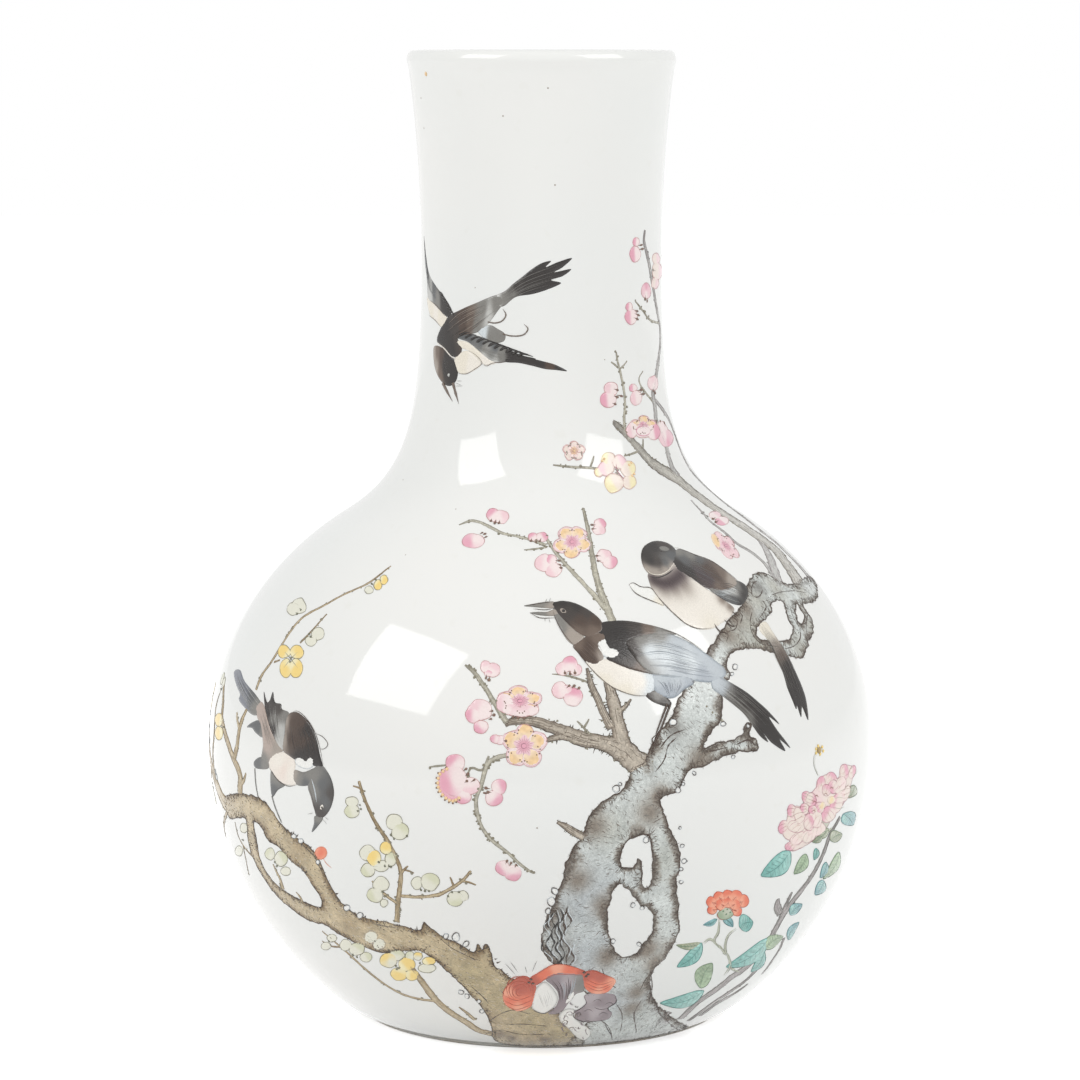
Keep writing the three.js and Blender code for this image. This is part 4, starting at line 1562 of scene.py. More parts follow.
# %% Plum blossom
blossom = Flowers("plum_blossom", "plum", 0.03)
buds = """
493,515,6.5,7,2 501,517,7.5,7,1 / 491,521 495,523 499,523
473,541,11,7.5,2 / 482,533 485,534 486,537
533,537,5,4.5,2 542,537,6,5,2 / 531,541 536,542 540,541
544,563,9.5,8.5,1 553,570,8,7.5,1 551,560,6,5,2 / 559,561 560,565 561,568
600,524,6.5,5.5,2 599,530,6.5,5,1 / 592,525 593,529
604,556,7.5,7,1 610,562,7.5,6.5,2 / 597,556 598,561
486,667,5.5,6.5,1 493,670,7.5,7,1 489,673,5,4,2 / 486,678 489,680
480,710,12,10.5,1 473,715,7.5,8.5,2 481,727,7.5,6.5,2 / 492,711 494,715 491,719
500,740,5.5,4.5,1 495,739,5,4.5,2 / 506,741
499,787,7.5,8,2 494,798,8.5,8,2 / 486,788 488,792 485,793
562,669,6.5,6.5,1 576,670,6,6,1 570,664,8,7.5,2 / 565,673 570,674 575,673
560,690,8,8.5,1 573,697,9.5,9.5,-2 567,690,6,5,-1 / 569,686 574,686 579,688
503,868,7.5,7.5,2 513,873,8.5,8,2 / 507,861 511,863 516,865
636,242,3.5,4.5,2 635,254,5.5,8,2 / 641,245 642,249
646,291,5,8,2 / 645,299 647,301
629,307,3.5,4.5,2 631,317,6,8,2 / 637,311 638,315 637,319
653,383,5.5,7.5,1 / 653,391 655,393
611,389,7.5,7,1 608,400,8,8,2 / 617,390 617,397 621,396 615,404
633,388,4,4,2 636,398,6,7.5,1 / 641,390 643,394
660,430,7.5,9,1 666,438,7,9,2 / 656,421 660,421 664,423
715,515,6,4,1 722,521,7,4.5,-2 / 713,519 716,522
"""
blossom.sprig(buds)
blossom.open(524, 746, 22, 1.0, 92)
blossom.open(572, 542, 19, 0.84, -90)
blossom.halo = ("rose_pale", "rose_pale")
blossom.open(726, 546, 17, 0.5, 90, -48)
blossom.halo = ("honey", "amber")
blossom.shape(ring_at(716, 541, 3.2, 8, -0.5), pooled("honey", "amber", 1.0), False)
blossom.open(520, 701, 22, 0.7, 90)
near_petals = at("505,703,9,10,1 511,709,10,6,-1 529,710,10,5.5,-1 520,712,12,5,-1")
for petal in near_petals:
    blossom.petal(*petal, source=(520, 701))
blossom.open(643, 426, 13, 0.8, 90)
for petal in ((632, 430, 6, 8, 1), (653, 432, 7, 8, 2), (643, 431, 9, 7, 0)):
    blossom.petal(*petal, source=(643, 424))
blossom.stroke(ring_at(643, 431, 7, 5)[[*range(10), 0]], 0.4, "rose")
blossom.dot("518,718 524,718 513,717", 0.5, "calyx")

# The large blossom on the hanging twig shows its fringe of stamens on the left.
blossom.turned(at("455,763,10,9,2 470,786,10,9,1 463,797,9,7,2 453,781,14,16,2"),
    at("466,769 468,774 467,781 474,780"))
fringe = smooth_path(at("447,769 440,774 438,783 440,791 446,798 453,801 459,798"), 4)
crescent = np.vstack([fringe, fringe[::-1] * 0.75 + np.array((455, 781)) * 0.25])
blossom.shape(crescent, pooled("rose_pale", "rose", 0.8), False)
for i, (x, y) in enumerate(fringe):
    blossom.dot([(x, y)], 0.6, "amber")
    blossom.dot([(x * 1.12 - 454 * 0.12, y * 1.12 - 782 * 0.12)], 0.34, "calyx")
blossom.close()

pale_blossom = Flowers("pale_blossom", "faint", 0.03)
pale_blossom.petals = ("cream_pink", "primrose", "rose_pale")
pale_blossom.turned(at("""599,472,5,5,1 606,468,8.5,8,2 608,459,7,6.5,1 628,469,7.5,8,1 619,462,7,7,2
    629,482,7,7,1 614,483,9.5,10,1"""), at("617,470 617,473"))
pale_blossom.stroke("616,464 617,471 624,479", 0.4, "plum_soft")
for x, y in ((631, 463), (634, 474), (604, 459)):
    pale_blossom.dot([(x, y), (x - 2, y + 2)], 0.5, "amber")
pale_blossom.petals = flower_paints["faint"][0]
pale_blossom.turned(at("656,259,4,6,2 657,271,5,9,2 655,283,4,6,2"), [(653, 270)])
pale_blossom.open(574, 451, 11, 0.9)
pale_blossom.close()

# %% [markdown]
# The winter plum is older and browner than the tree in front. Its trunk creeps up from the foot on the
# left, splits, and puts out thin ochre twigs with small waxy flowers in pale green and yellow.

# %% The winter plum
brown_upper = at("""225,798 240,794 254,796 266,803 274,814 282,825 293,835 308,846 319,859 327,879
    338,898 350,910 365,918 382,921 402,926 420,930 424,922 429,927 440,935 455,942 466,948 474,953
    478,944 482,950 486,944 491,952 494,965 503,972 514,980 530,990 545,1002 560,1014 574,1026 584,1044""")
brown_lower = at("""555,1046 520,1046 496,1041 492,1028 487,1015 480,1005 470,994 458,981 447,971 435,960
    420,951 404,951 380,952 358,944 341,935 325,925 310,921 292,909 277,896 265,880 254,860 249,845
    246,820 238,818 229,817""")
brown_gap = at("""254,822 262,828 268,840 279,847 292,862 303,871 311,883 321,898 320,907 306,903 291,895
    278,886 269,876 261,861 257,843""")
wax = Motif("winter_plum")
brown_loops = [gnarled(brown_upper + brown_lower, 0.3), gnarled(brown_gap, 0.2)]
brown_tint = stained(plain("sand_grey"), "olive_sand", "500,1000 535,1020 560,1032 470,975", 20, 0.7)
brown_tint = stained(brown_tint, "tan_shade", "470,952 350,925 300,850 540,1038 490,1015", 8, 0.6)
brown_tint = stained(brown_tint, "umber", "500,1034 512,1038 560,1012 566,1022 545,1040", 6, 0.55)
brown_tint = barked(mottled(brown_tint, 4, 0.09, 21), 2.8, 6, "tan_shade", "tan_dark")
wax.washes.fill(brown_loops, mottled(brown_tint, 0.9, 0.07, 9), 0.62)
for loop in brown_loops:
    outlined(wax.lines, loop, 0.4, "umber", 0.02)
hatched(wax.lines, brown_loops, inward, 0.9, 1.5, 0.24, ("umber", "bark", "soot"), 0.09, 1.5)
lengthwise = toward((330, 910), (470, 975))
hatched(wax.lines, brown_loops, lengthwise, 1.6, 1.4, 0.16, ("tan_shade", "moss", "cream"), 0.09)
stippled(brown_loops, 5, 9000, ("umber", "tan_dark"), 0.09)
for pixels in paths("""440,938 452,948 466,955 476,960 / 488,1022 500,1014 514,1010 530,1014 /
    484,1034 500,1030 520,1034 545,1034 / 500,990 512,1000 530,1008 / 344,905 360,918 380,925 400,928 /
    300,842 314,856 322,872 330,890 / 505,1024 525,1024 548,1026 / 470,985 486,1000 496,1014"""):
    outlined(wax.lines, seen(pixels), 0.4, "bark", 0.09, False, 7, 0.5, 0.1)
thorny(wax.lines, seen(brown_upper[5:30]), 2.2, 0.8, 0.6, "umber", 0.02, -1)
thorny(wax.lines, seen(brown_lower[6:16]), 3.0, 0.6, 0.45, "umber", 0.02, -1)

ochre_twigs = paths("""397,922,3 398,903,2.8 400,887,2.6 401,873,2.4 397,860,2.2 387,840,2.2 377,825,2
    369,809,1.8 363,795,1.8 359,781,1.4 / 401,896,1.8 420,897,1.8 437,895,1.8 450,889,1.7 462,881,1.5
    471,871,1 / 397,903,1.8 388,897,1.6 380,890,1.5 372,881,1 / 462,881,1.2 469,882,1 476,885,0.7 /
    400,875,1.4 404,870,1.2 408,866,0.8 / 404,870,0.9 409,871,0.8 414,873,0.6 /
    364,792,1.2 359,788,1 353,786,0.7 / 454,887,1 452,882,0.9 450,877,0.6 / 492,1034,6 478,1030,6
    464,1021,5.6 450,1012,5.2 437,1001,5 428,990,4.6 420,979,3.6 411,966,2 /
    475,1020,2.6 467,1013,2 459,1007,0.8 / 436,1001,2 420,999,1.9 402,994,1.9 383,983,1.8 364,968,1.8
    350,955,1.6 337,944,1.4 322,931,0.9 / 340,947,1 331,946,0.8 322,941,0.6 /
    283,889,2.8 280,879,2.2 276,871,1.6 273,864,1 / 303,903,2 300,897,1.6 296,892,0.8 / 240,795,6
    240,775,5.4 234,760,4.8 229,746,4.6 225,733,4.4 222,718,4 223,704,3.6 224,684,2.6 / 234,761,4
    237,746,4 239,732,3.6 242,720,3.2 247,709,2 / 239,727,2.4 237,719,2.2 237,712,1.4 /
    240,786,2.6 244,780,2.2 246,773,1.2 / 256,690,1.8 262,675,1.7 272,661,1.6 283,643,1.6 297,623,1.6
    308,614,1.5 325,605,1.4 343,595,1.3 365,585,1.3 377,577,1.2 391,566,0.8 / 274,662,1.2 280,660,0.9 /
    300,643,1.2 308,635,1.2 318,624,1.1 327,614,0.9 / 290,632,0.8 293,626,0.7 /
    253,857,1.2 243,845,1 238,835,0.8 235,822,0.6 / 227,812,2.4 224,826,1.6 226,838,0.8 /
    243,845,0.8 246,860,0.7 249,874,0.5""")
for points in ochre_twigs:
    branch(points, "ochre", 0.002, 0.6, 0.18)
wax.fire(bark_enamel, ink_enamel)
for x, y, radius in at("""347,908,3.4 360,915,3 446,936,2.8 456,937,4.4 466,944,3.4 461,992,2.8
    467,996,2.6 479,1001,2.4 482,1011,2.4 294,836,2.6 301,841,2.6 318,862,2.4"""):
    curl(x, y, radius)

wax_flowers = Flowers("waxy_blossom", "waxy", 0.02)
wax_buds = """
352,802,6.5,5.5,0 352,811,7.5,7,1 / 360,805 361,809 358,811
394,822,8,8,0 400,831,9,8.5,1 / 391,835 394,839 407,836
368,853,8.5,8,0 368,870,7.5,7,1 381,866,8,5.5,0 374,858,7.5,8.5,3 / 379,862
391,859,6,7,1 386,848,6,6.5,3 / 389,866 385,866 391,867
381,884,8,7.5,0 375,895,8,7.5,1 384,903,4,4,0 / 383,892 386,896
417,883,5.5,6.5,0 430,882,9,9,1 / 421,890 425,891 429,891
463,896,5.5,5.5,0 455,899,8.5,7.5,1 / 448,896 452,892 459,892
357,949,8,6.5,1 346,945,6,5.5,0 366,957,6,5,1 / 353,955 357,957
270,854,5,6,1 281,859,6.5,7.5,1 286,871,5,4.5,0 / 275,862 277,866
399,974,8.5,6.5,3 407,964,8.5,7,3 412,975,7,5.5,3 397,955,7.5,5.5,1 389,960,9,7.5,2 / 396,966 399,968 397,969
410,956,5,5,1 427,968,9,4.5,0 429,961,7,4,3 418,956,4.5,4,2 / 420,963
299,606,7,8,0 293,609,6,6.5,0 / 297,614 301,610
318,634,6.5,6.5,0 311,641,6,5.5,0 / 309,634 311,637
284,652,6.5,6.5,3 297,652,7,7,3 286,668,6.5,9.5,3 296,668,6.5,9.5,3 / 291,658 290,662
369,590,4.5,4,0 378,585,4,5.5,3 384,580,4,5,3 / 372,584 376,580
219,720,4,7,3 219,733,4,7,3 / 224,727
332,938,5,4,0 326,946,5,4,0 / 329,941
244,828,4,5,0 239,851,4,5,0 / 243,840
"""
wax_flowers.sprig(wax_buds)
for spot, other in (((285, 652), (298, 668)), ((298, 652), (284, 668))):
    wax_flowers.stroke([spot, (291, 659), other], 0.3, "moss")
wax_flowers.ink = "slate_blue"
wax_flowers.turned(at("371,937,7,6.5,0 379,944,6.5,6,0"), [(375, 941)])
wax_flowers.close()

# %% [markdown]
# At the foot a fungus, the sign of a long life, grows over a garden rock. Its caps are iron red laid
# thick, with the growth rings drawn in a darker red. The rock is a dull violet with hollows left white.

# %% Fungus and rock
rock = Motif("rock", 0.085)
rock.lay("""
    strands: 545,978 556,972 570,972 583,974 584,990 576,994 569,1002 563,1010 556,1014 548,1013 556,1006
        559,995 553,986 violet 553,984 562,1000 ash 580,984 violet_pale 568,984;
    lumps: 584,996 592,993 606,993 615,995 616,1002 608,1008 612,1013 608,1019 596,1021 582,1021 574,1017
        574,1012 581,1008 586,1003 violet 600,1001 606,1015 582,1016 violet_pale 595,1012 594,998;
    hollow: 535,990 540,984 546,982 554,990 558,999 553,1008 545,1013 538,1012 532,1008 532,999;
    foam: 559,1015 566,1009 575,1010 576,1018 583,1024 590,1029 590,1036 584,1040 576,1037 569,1029
        561,1022;
    loop: 568,994 575,991 573,998 569,1002 564,1004
""", hollow=pooled("cloud_grey", "snow", 0.9), foam=pooled("cloud_grey", "snow", 0.8),
    loop=pooled("cloud_grey", "snow", 0.5))
rock.comb("547,980 556,990 559,1004", "578,975 575,986 570,997", 11, 0.3, ("plum_black", "violet", "mist"),
    0.2)
rock.strokes("""584,996 586,1003 581,1008 574,1012 574,1017 582,1021 596,1021 608,1019 /
    608,1008 600,1009 594,1007 / 615,995 616,1002 608,1008 612,1013 /
    532,1008 538,1012 545,1013 553,1008 / 604,1022 608,1030 612,1036""", 0.3, "plum_black")
foam_rings = [*ring_at(576, 1026, 13, 12, 0.9, 13), *ring_at(574, 1022, 8, 7, 0.6, 8)]
for x, y in foam_rings + at("570,1012 577,1016 572,1003 567,998 578,1006"):
    x, y = x + dice.normal(0, 0.9), y + dice.normal(0, 0.9)
    loop = ring_at(x, y, dice.uniform(0.9, 3.2), dice.uniform(0.9, 2.2), dice.uniform(0, 3))
    loop = loop[:dice.integers(5, 11)]
    tint = ("plum_black", "sepia", "violet")[dice.integers(3)]
    rock.lines.draw(seen(loop), dice.uniform(0.22, 0.42), tint, rock.bed + 0.07, shake=0.5)
for x, y in at("597,1000 603,1013 588,1010 609,1003"):
    rock.stroke([(x - 5, y + 2), (x, y - 1), (x + 5, y + 1)], 0.22, "plum_black")
rock.comb("537,994 540,1002 544,1009", "550,988 553,997 552,1006", 7, 0.14, "cloud_grey")
rock.fire(petal_enamel, ink_enamel)

fungus = Motif("fungus", 0.1)
stalk_top = at("529,979 541,971 552,965 563,964 575,967 585,971")
stalk_low = at("583,975 567,974 556,974 547,978 536,985")
left_cap = at("503,998 504,990 512,981 522,976 530,978 536,986 535,998 530,1007 518,1011 507,1006")
right_cap = at("583,973 593,970 604,974 615,979 614,985 607,992 595,994 586,989 583,981")
fungus.wash(stalk_top + stalk_low, "coral 545,973 570,970 coral_light 557,968 brick 532,982 586,973")
fungus.wash(left_cap, "coral 510,1000 525,1002 coral_light 508,992 520,1007 brick 529,981 519,988")
fungus.wash(right_cap, "coral 592,985 606,988 coral_light 613,983 600,990 brick 588,974 600,977")
for line in (stalk_top, stalk_low, left_cap[:5], right_cap[:4]):
    fungus.stroke(line, 0.24, "brick")
for share in (0.25, 0.45, 0.65, 0.85):
    fungus.stroke(ring_at(520, 992 - 2 * share, 15 * share, 17 * share, share * 3)[:8], 0.34, "brick")
for drop in (3, 8, 12):
    fungus.stroke([(504, 992 + drop), (517, 997 + drop), (534, 991 + drop)], 0.3, "brick")
    fungus.stroke([(585, 976 + drop * 0.8), (599, 982 + drop * 0.7), (614, 979 + drop * 0.4)], 0.3, "brick")
fungus.dot("584,972 588,974 586,976 531,979 533,983 529,982", 0.55, "umber")
fungus.strokes("505,963 516,975 / 510,961 518,972 / 537,960 532,972 / 525,966 527,973", 0.16, "ash")
fungus.fire(petal_enamel, ink_enamel)

coral_bud = Flowers("coral_bud", "plum", 0.02)
coral_bud.ink = "coral_light"
coral_bud.shape(ring_at(321, 853, 6, 6.5, 0.5), "coral 321,853 coral_light 316,848 325,859")
coral_bud.stroke("323,858 327,864 332,868", 0.24, "coral_light")
coral_bud.close()

# %% [markdown]
# Garden flowers fill the right side: a red one low down, and a large pale one higher up. Their leaves are
# the clear glassy greens and turquoise that this ware is known for. A leaf is a base, a tip and a half
# width in pixels. A rule gives its two sides, its tint and its veins.

# %% Leaves by rule
leaf_paints = {"teal": ("teal_light", "teal", "teal_deep"), "blue": ("teal_light", "blue_teal", "teal_deep"),
               "green": ("leaf", "sage", "leaf_dark"), "olive": ("sage_pale", "olive_grey", "leaf_dark")}


class Plant(Motif):
    """The stems and leaves of one plant."""

    def leaf(self, base, tip, half, kind, bow=0.1):
        base, way = np.array(base, float), np.subtract(tip, base)
        across = np.array((way[1], -way[0])) / np.hypot(*way)
        share = np.linspace(0, 1, 9)[:, None]
        rib = base + way * share + across * bow * np.hypot(*way) * np.sin(math.pi * share)
        width = half * np.sin(math.pi * share ** 0.85) ** 0.75
        loop = np.vstack([rib + across * width, (rib - across * width)[-2:0:-1]])
        light, dark, vein = leaf_paints[kind]
        tint = running(seen(base)[0], seen(tip)[0], light, dark)
        tint = mottled(stained(rimmed(tint, dark, 0.8, 0.9), dark, rib[2:8], 1.5, 0.7), 1.4, 0.09, base[0])
        self.wash(loop, tint)
        outlined(self.lines, seen(loop), 0.16, vein, self.bed + 0.02, True, 8, 0.2, 0.05)
        self.stroke(rib, 0.26, vein)
        for i in range(1, 7):
            for side in (-1, 1):
                self.stroke([rib[i], rib[i] + across * width[i] * 0.75 * side + way * 0.09], 0.15, vein)

    def leaves(self, text):
        """Leaves, parted by slashes: the base, the tip, the half width and the kind of each."""
        for leaf in text.split("/"):
            base, tip, half, kind = leaf.split()
            self.leaf(*at(base), *at(tip), float(half), kind)

    def stem(self, pixels, width, tint, shade):
        """A stem with one darker side."""
        dark_side = np.array(pixels) + (1, 0.8)
        self.lines.draw(seen(pixels), width, tint, self.bed, (0.05, 0.3), 0.9, 0.25)
        self.lines.draw(seen(dark_side), width * 0.3, shade, self.bed + 0.1, (0.1, 0.3), 0.9, 0.3)


# %% Garden flowers
garden = Plant("garden_flower", 0.01)
woody_stems = paths("""680,1019,3 697,1003,3 718,988,3.4 732,977,3.4 745,968,3.4 755,957,3 768,943,2.6
    775,930,2.4 782,917,2.4 790,905,2.4 800,892,2.2 809,880,2 817,867,2 824,852,1.8 830,835,1.6
    840,817,1.2 / 688,1021,2 710,1005,2 728,993,2 745,981,1.8 757,969,1.6 765,958,1 /
    700,1016,1.8 716,1004,1.8 735,993,1.6 748,984,1 / 762,974,1 772,961,1.4 780,948,1.3 784,938,0.8 /
    781,917,2 786,905,1.6 792,892,0.9 / 780,914,2 777,906,2.2 778,899,1 /
    670,1012,2 660,1019,1.6 655,1029,1""")
green_stems = paths("""725,955 722,949 714,941 718,932 719,918 / 726,954 725,945 728,935 736,928 /
    715,942 709,939 703,943 / 727,953 730,965 724,975 / 832,828 824,834 815,838 / 728,965 734,970 741,972""")
for points in woody_stems:
    branch([(x, y, half * 2.2) for x, y, half in points], "violet", 0.0, 0.4, 0.17)
for pixels in green_stems:
    garden.stem(pixels, 0.9, "sage_pale", "moss")
garden.stem(at("818,776 814,766 814,756 818,750"), 0.24, "moss", "moss")
garden_leaves = """717,919 703,925 3 blue / 723,918 733,927 4 blue / 739,926 753,922 9 teal /
    702,943 677,967 6.5 teal / 701,943 676,945 3.4 olive / 700,988 712,963 8.5 green /
    704,991 660,1003 6.5 teal / 769,938 726,967 7 teal / 765,949 783,936 6 green /
    764,951 751,972 4.5 teal / 788,940 799,922 3.6 blue / 790,915 802,904 5 blue /
    790,851 761,876 9.5 teal / 806,854 794,874 5.5 green / 816,848 814,860 3 teal /
    843,814 853,825 8 blue / 830,840 842,834 6 olive / 854,785 848,798 4.5 olive /
    839,852 823,879 4.5 green / 826,862 820,878 3.6 blue / 823,880 815,895 5 blue /
    828,828 816,839 3.4 olive / 822,836 812,842 3 olive"""
garden.leaves(garden_leaves)
garden.fire(leaf_enamel, ink_enamel)

red_flower = Flowers("red_flower", "red", 0.05)
red_petals = at("""712,910,5,4.5,1 712,902,6,6,2 737,911,5,5,1 743,901,6,6.5,2 719,897,6,5.5,2
    736,896,6,6,2 728,896,6,6,2 721,904,6,6,1 735,904,6,6,1 728,902,5.5,5.5,1""")
for petal in red_petals:
    red_flower.petal(*petal, source=(727, 910))
    root = (727 + (petal[0] - 727) * 0.5, 908 + (petal[1] - 908) * 0.5)
    red_flower.stroke([root, petal[:2]], 0.24, "brick")
red_flower.shape("717,914 722,909 727,907 732,911 733,915 727,919 720,919",
    "sage_pale 727,911 sage 720,917 732,917")
red_flower.dot("723,911 727,909 730,912 726,914", 0.36, "leaf_dark")
red_flower.close()

pale_flower = Flowers("pale_flower", "pale", 0.04)
pale_mass = at("""781,829 786,822 789,810 796,806 803,806 804,795 812,792 818,784 823,776 831,774 838,778
    842,766 848,765 853,768 852,780 847,795 842,806 833,816 827,827 816,838 805,846 792,851 794,843
    785,838""")
pale_flower.shape(pale_mass, "cream_pink 800,825 830,790 rose_pale 815,815 sage_pale 822,832")
outer_petals = at("""784,827,5.5,7,2,0.4 792,812,5,8,2,-0.2 791,846,6.5,4.5,2,-0.4 806,797,4.5,6,2
    821,784,4.5,8,2,0.2 831,778,5.5,6,2 844,772,4.5,8,2 852,772,3.5,7,2,0.3""")
inner_petals = at("""798,838,9,5.5,1,-0.5 796,826,9,6.5,0 800,817,5.5,10,0,-0.3 804,809,4.5,6,2
    811,800,5.5,7,-2 808,836,8,6,-1,-0.6 817,828,8,7,1 840,786,5.5,10,1,0.3 845,794,4,9,-1,0.4
    833,787,5,7,-2 826,790,4.5,6,2 836,803,6,11,-2,0.4 828,814,7,9,-2,0.5 815,818,7,10,1 809,822,5.5,9,-2
    819,808,5,6,2 813,810,5,5,2""")
for petal in outer_petals + inner_petals:
    x, y, across, up = petal[:4]
    pale_flower.petal(*petal[:5], (822, 804), *petal[5:])
    way = np.subtract((822, 804), (x, y)) / np.hypot(822 - x, 804 - y) * max(across, up)
    for turn in (-0.5, 0, 0.5):
        aside = np.array((-way[1], way[0])) * turn
        tint = ("plum_soft", "olive_grey", "peach_line", "peach_shade")[dice.integers(4)]
        middle = (x, y) - way * 0.2 + aside
        end = (x, y) + way * 0.5 + aside * 0.6
        pale_flower.stroke([(x, y) - way * 0.75 + aside * 0.8, middle, end], 0.14, tint)
for x, y in ((821, 806), (831, 800)):
    ring = ring_at(x, y, 3.8, 4.4, 0.4) + dice.normal(0, 0.35, (10, 2))
    pale_flower.shape(ring, {"lemon": [(x, y)], "cream_pink": ring[::2]}, False)
for x, y in at("812,803 814,797 823,795 829,789 811,812"):
    pale_flower.stroke([(x, y), (x + 2, y - 2), (x + 4, y)], 0.3, "peach_shade")
pale_flower.bed = 0.02
pale_flower.dot([(819, 750)], 1.3, "ochre")
pale_flower.dot("816,749 818,746 822,747 823,751 820,754 816,753", 0.62, "lemon")
pale_flower.close()

# %% [markdown]
# Nothing of the back shows in the photograph. A painter carries the design round, more sparsely than on
# the face, so here the winter plum grows on round its own side and a few more garden plants round the
# other. Both are guessed and drawn with the same strokes. Their places are written as if the pot had
# been photographed again from each side. No mark is put under the foot.

# %% Round the left side: the far end of the winter plum
quarter_turn = math.pi / 2 * belly_radius
painted_side["around"] = -quarter_turn
far_boughs = paths("""678,848,9.5 655,842,10 632,832,9 606,818,8.5 580,802,8 556,782,7.5 536,758,6.5
    518,736,5.8 498,718,5 476,704,4.6 452,694,4.2 426,680,3.6 404,662,3.2 384,640,3 360,622,2.8
    336,608,2.6 310,602,2.2 284,590,1.8 262,572,1 / 606,818,5 586,834,4.2 560,842,3.6 534,846,3
    506,842,2.2 482,832,1.2 / 526,748,4 512,726,3.2 508,702,2.6 496,680,2 498,656,1.4 490,636,0.8 /
    632,832,4 624,806,3 630,780,2.2 622,754,1.6 628,732,0.9 /
    498,718,3 486,740,2.2 468,754,1.7 446,758,1 / 426,680,1.8 410,694,1.3 392,698,0.8 /
    560,842,1.6 552,862,1.2 538,874,0.8 / 496,680,1.3 484,670,0.9 478,656,0.6 /
    360,622,1.8 354,600,1.4 358,580,0.8 / 310,602,1.5 298,616,1.2 282,622,0.8""")
for points in far_boughs:
    branch(points, "ochre", 0.002, 0.8, 0.3 if points[0][2] > 5 else 0.17)
for x, y, radius in at("640,824,3.4 634,820,2.6 590,796,3 574,784,2.6 560,772,3"):
    curl(x, y, radius)

far_wax = Flowers("far_waxy_blossom", "waxy", 0.02)
far_buds = """
496,622,7,7,1 489,629,6,6,0 / 491,636 495,637
480,648,6.5,6.5,1 / 479,656 482,656
474,824,7,7,1 466,833,6,6,0 / 478,832 476,836
438,764,7,6.5,0 445,770,6,6,1 / 446,760 450,763
534,882,7,6.5,1 / 538,875 541,877
620,722,6,7,1 632,724,6,6,0 / 627,732 630,732
590,850,6,6,0 598,856,6.5,6,1 / 590,842 595,845
254,562,6.5,6.5,1 264,556,6,6,0 / 260,570 264,570
272,628,6,6,1 280,634,6,6,0 / 281,624 284,625
384,702,6,6,1 392,708,6,6,0 / 391,699 394,700
354,570,6.5,6.5,1 364,568,6,6.5,0 / 357,578 360,579
"""
far_wax.sprig(far_buds)
for x, y in at("558,751 476,697 404,654 326,596"):
    far_wax.turned([(x - 6, y - 7, 6.5, 6.5, 3), (x + 6, y - 7, 7, 7, 3), (x - 5, y + 8, 6.5, 9, 3),
        (x + 5, y + 8, 6.5, 9, 3)], [(x, y), (x - 1, y + 3)])
far_wax.close()

# %% Round the right side: more garden plants
painted_side["around"] = quarter_turn
far_stems = paths("""560,1028,4.4 566,1000,4 574,972,3.8 584,944,3.4 590,916,3 600,888,2.6 604,862,2.2
    600,840,1.4 / 584,944,2.4 606,928,2 626,908,1.6 636,886,1 /
    574,972,2.4 556,950,2 544,930,1.6 540,912,1 / 566,1000,2 592,990,1.6 616,984,1.1 / 660,1026,3.6
    672,996,3.2 688,966,2.8 700,938,2.4 706,912,1.8 704,890,1 / 688,966,2 668,950,1.6 654,944,1""")
for points in far_stems:
    branch(points, "violet", 0.0, 0.5, 0.2)
far_garden = Plant("far_garden_leaves", 0.05)
far_leaves = """606,928 632,938 7 teal / 626,908 650,900 6 green / 556,950 530,962 7 teal /
    544,930 518,928 5.5 olive / 592,990 616,1008 7 green / 616,984 644,982 6.5 teal /
    590,916 568,900 5.5 blue / 600,888 624,872 6 teal / 604,862 584,850 5 green /
    566,1000 538,1006 6.5 blue / 688,966 716,962 7 teal / 700,938 680,922 5.5 green /
    706,912 728,902 6 teal / 654,944 636,956 5.5 olive / 672,996 700,1000 6.5 olive"""
far_garden.leaves(far_leaves)
far_garden.fire(leaf_enamel, ink_enamel)


def rosette(flowers, x, y, radius, rows):
    """A full flower as rings of petals, written as (reach, count, size, blush), outermost first."""
    flowers.bed = flowers.start
    for reach, count, size, blush in rows:
        for angle in np.arange(count) * 2 * math.pi / count + dice.uniform(0, 1):
            place = (x + radius * reach * math.cos(angle), y - radius * reach * 0.8 * math.sin(angle))
            size_now = radius * size * dice.uniform(0.9, 1.1)
            flowers.petal(*place, size_now, size_now * 0.9, blush, (x, y + 0.01))


far_red = Flowers("far_red_flower", "red", 0.05)
for x, y, radius in ((540, 896, 17), (638, 872, 13)):
    rosette(far_red, x, y, radius, ((0.72, 9, 0.36, 2), (0.36, 6, 0.34, 1), (0.02, 1, 0.3, 1)))
far_red.close()

far_pale = Flowers("far_pale_flower", "pale", 0.05)
far_pale.ink = "peach_line"
for x, y, radius in ((602, 818, 27), (703, 868, 22)):
    rosette(far_pale, x, y, radius, ((0.78, 9, 0.33, 2), (0.5, 7, 0.3, 1), (0.22, 4, 0.26, 1)))
    for turn in range(7):
        far_pale.dot([(x + 3 * math.cos(turn), y + 3 * math.sin(turn))], 0.7, "lemon")
far_pale.close()
painted_side["around"] = 0.0

# %% [markdown]
# A few iron specks have burnt through the white glaze, as they do where the clay is not quite clean. The
# largest sits just under the rim on the left.

# %% Iron specks in the glaze
specks = Touches("iron_specks")
specks.dab(seen([(426, 74)]), 0.85, "amber")
specks.dab(seen("421,98 424,128 503,116 555,185 548,88 537,828"), 0.3, "taupe")
specks.dab(np.c_[dice.uniform(0, 2 * math.pi * belly_radius, 26), dice.uniform(40, 420, 26)], 0.22, "taupe")
specks.fire(ink_enamel)

# %% The last firings
bark.fire(bark_enamel)
bark_lines.fire(ink_enamel)
branch_lines.fire(ink_enamel)
stipple.fire(ink_enamel)

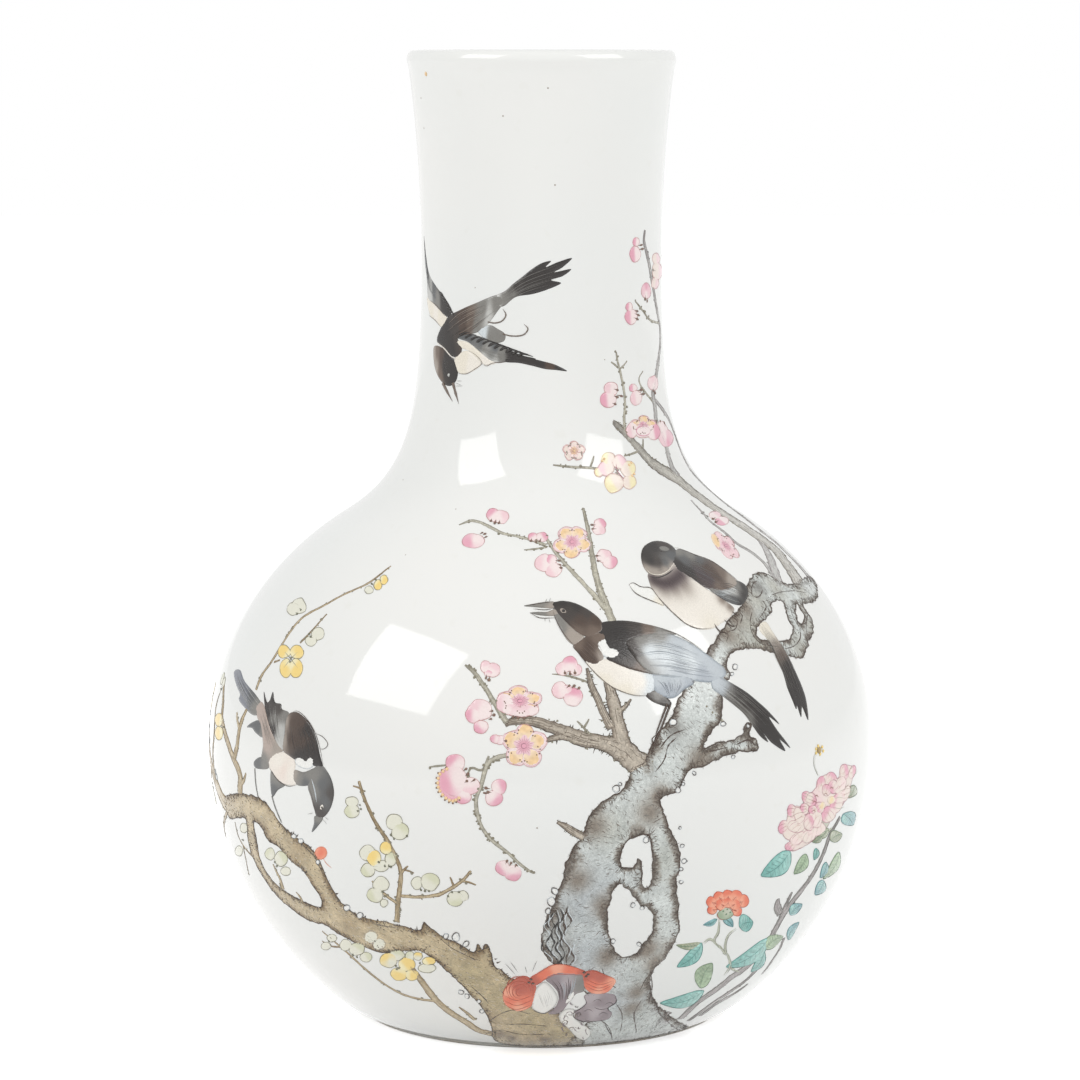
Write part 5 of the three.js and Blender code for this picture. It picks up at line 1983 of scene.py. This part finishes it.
# %% [markdown]
# The light is what a product photographer uses for porcelain: one large soft box on each side, and an
# even white room. The boxes leave the four-sided highlights on the belly and at the root of the neck.
# The room is dimmer for the light that it sheds than for what the camera and the gloss see of it, so
# that the background is white while the pale glaze keeps its shading.

# %% Light, room and floor
box_reach = 1.6
box_bearing = math.radians(57)
box_rise = math.radians(36)
box_size = (0.92, 0.80)
box_watts = 8.8
box_aim = Vector((0, 0, 0.15))


def soft_box(name, side):
    flat = box_reach * math.cos(box_rise)
    place = Vector((side * flat * math.sin(box_bearing), -flat * math.cos(box_bearing), 0))
    place.z = box_aim.z + box_reach * math.sin(box_rise)
    lamp = bpy.data.lights.new(name, "AREA")
    lamp.shape = "RECTANGLE"
    lamp.size, lamp.size_y = box_size
    lamp.energy = box_watts
    lamp.color = (1, 0.995, 0.985)
    stand = bpy.data.objects.new(name, lamp)
    bpy.context.scene.collection.objects.link(stand)
    stand.location = place
    stand.rotation_euler = (box_aim - place).to_track_quat("-Z", "Y").to_euler()
    print(name, "stands at", tuple(round(x, 2) for x in place))


soft_box("left_soft_box", -1)
soft_box("right_soft_box", 1)


def shown_ray(tree):
    """1 for rays from the camera, from gloss and through glass, and 0 for plain light."""
    path = node(tree, "ShaderNodeLightPath")
    total = path.outputs["Is Camera Ray"]
    for name in ("Is Glossy Ray", "Is Transmission Ray"):
        add = node(tree, "ShaderNodeMath", operation="ADD", use_clamp=True)
        wire(tree, (total, add.inputs[0]), (path.outputs[name], add.inputs[1]))
        total = add.outputs[0]
    return total


room_light = 0.55
world = bpy.data.worlds.new("white_room")
bpy.context.scene.world = world
world.use_nodes = True
room = world.node_tree.nodes["Background"]
room.inputs["Color"].default_value = (1, 1, 1, 1)
strength = spread(world.node_tree, shown_ray(world.node_tree), 0, 1, room_light, 1)
world.node_tree.links.new(strength, room.inputs["Strength"])

# %% [markdown]
# The floor is a wide matt sheet. Seen directly it has a little glow of its own, which takes it to the
# same white as the room, so no horizon shows. The pot's shadow still darkens the matt part under it.

# %% The floor
floor_half = 6
floor_glow = 0.62


def floor_finish():
    made = bpy.data.materials.new("matt_white_sheet")
    made.use_nodes = True
    tree = made.node_tree
    tree.nodes.clear()
    matt = node(tree, "ShaderNodeBsdfDiffuse")
    matt.inputs["Color"].default_value = (0.93, 0.93, 0.93, 1)
    glow = node(tree, "ShaderNodeEmission")
    both = node(tree, "ShaderNodeAddShader")
    wire(tree, (spread(tree, shown_ray(tree), 0, 1, 0, floor_glow), glow.inputs["Strength"]),
        (matt.outputs["BSDF"], both.inputs[0]), (glow.outputs["Emission"], both.inputs[1]),
        (both.outputs["Shader"], node(tree, "ShaderNodeOutputMaterial").inputs["Surface"]))
    return made


sheet = bpy.data.meshes.new("floor")
corners = [(x * floor_half, y * floor_half, 0) for x, y in ((-1, -1), (1, -1), (1, 1), (-1, 1))]
sheet.from_pydata(corners, [], [(0, 1, 2, 3)])
sheet.materials.append(floor_finish())
linked("floor", sheet)

# %% [markdown]
# Colours are shown plainly, as they are written, without a film look.

# %% The view
bpy.context.scene.view_settings.view_transform = "Standard"
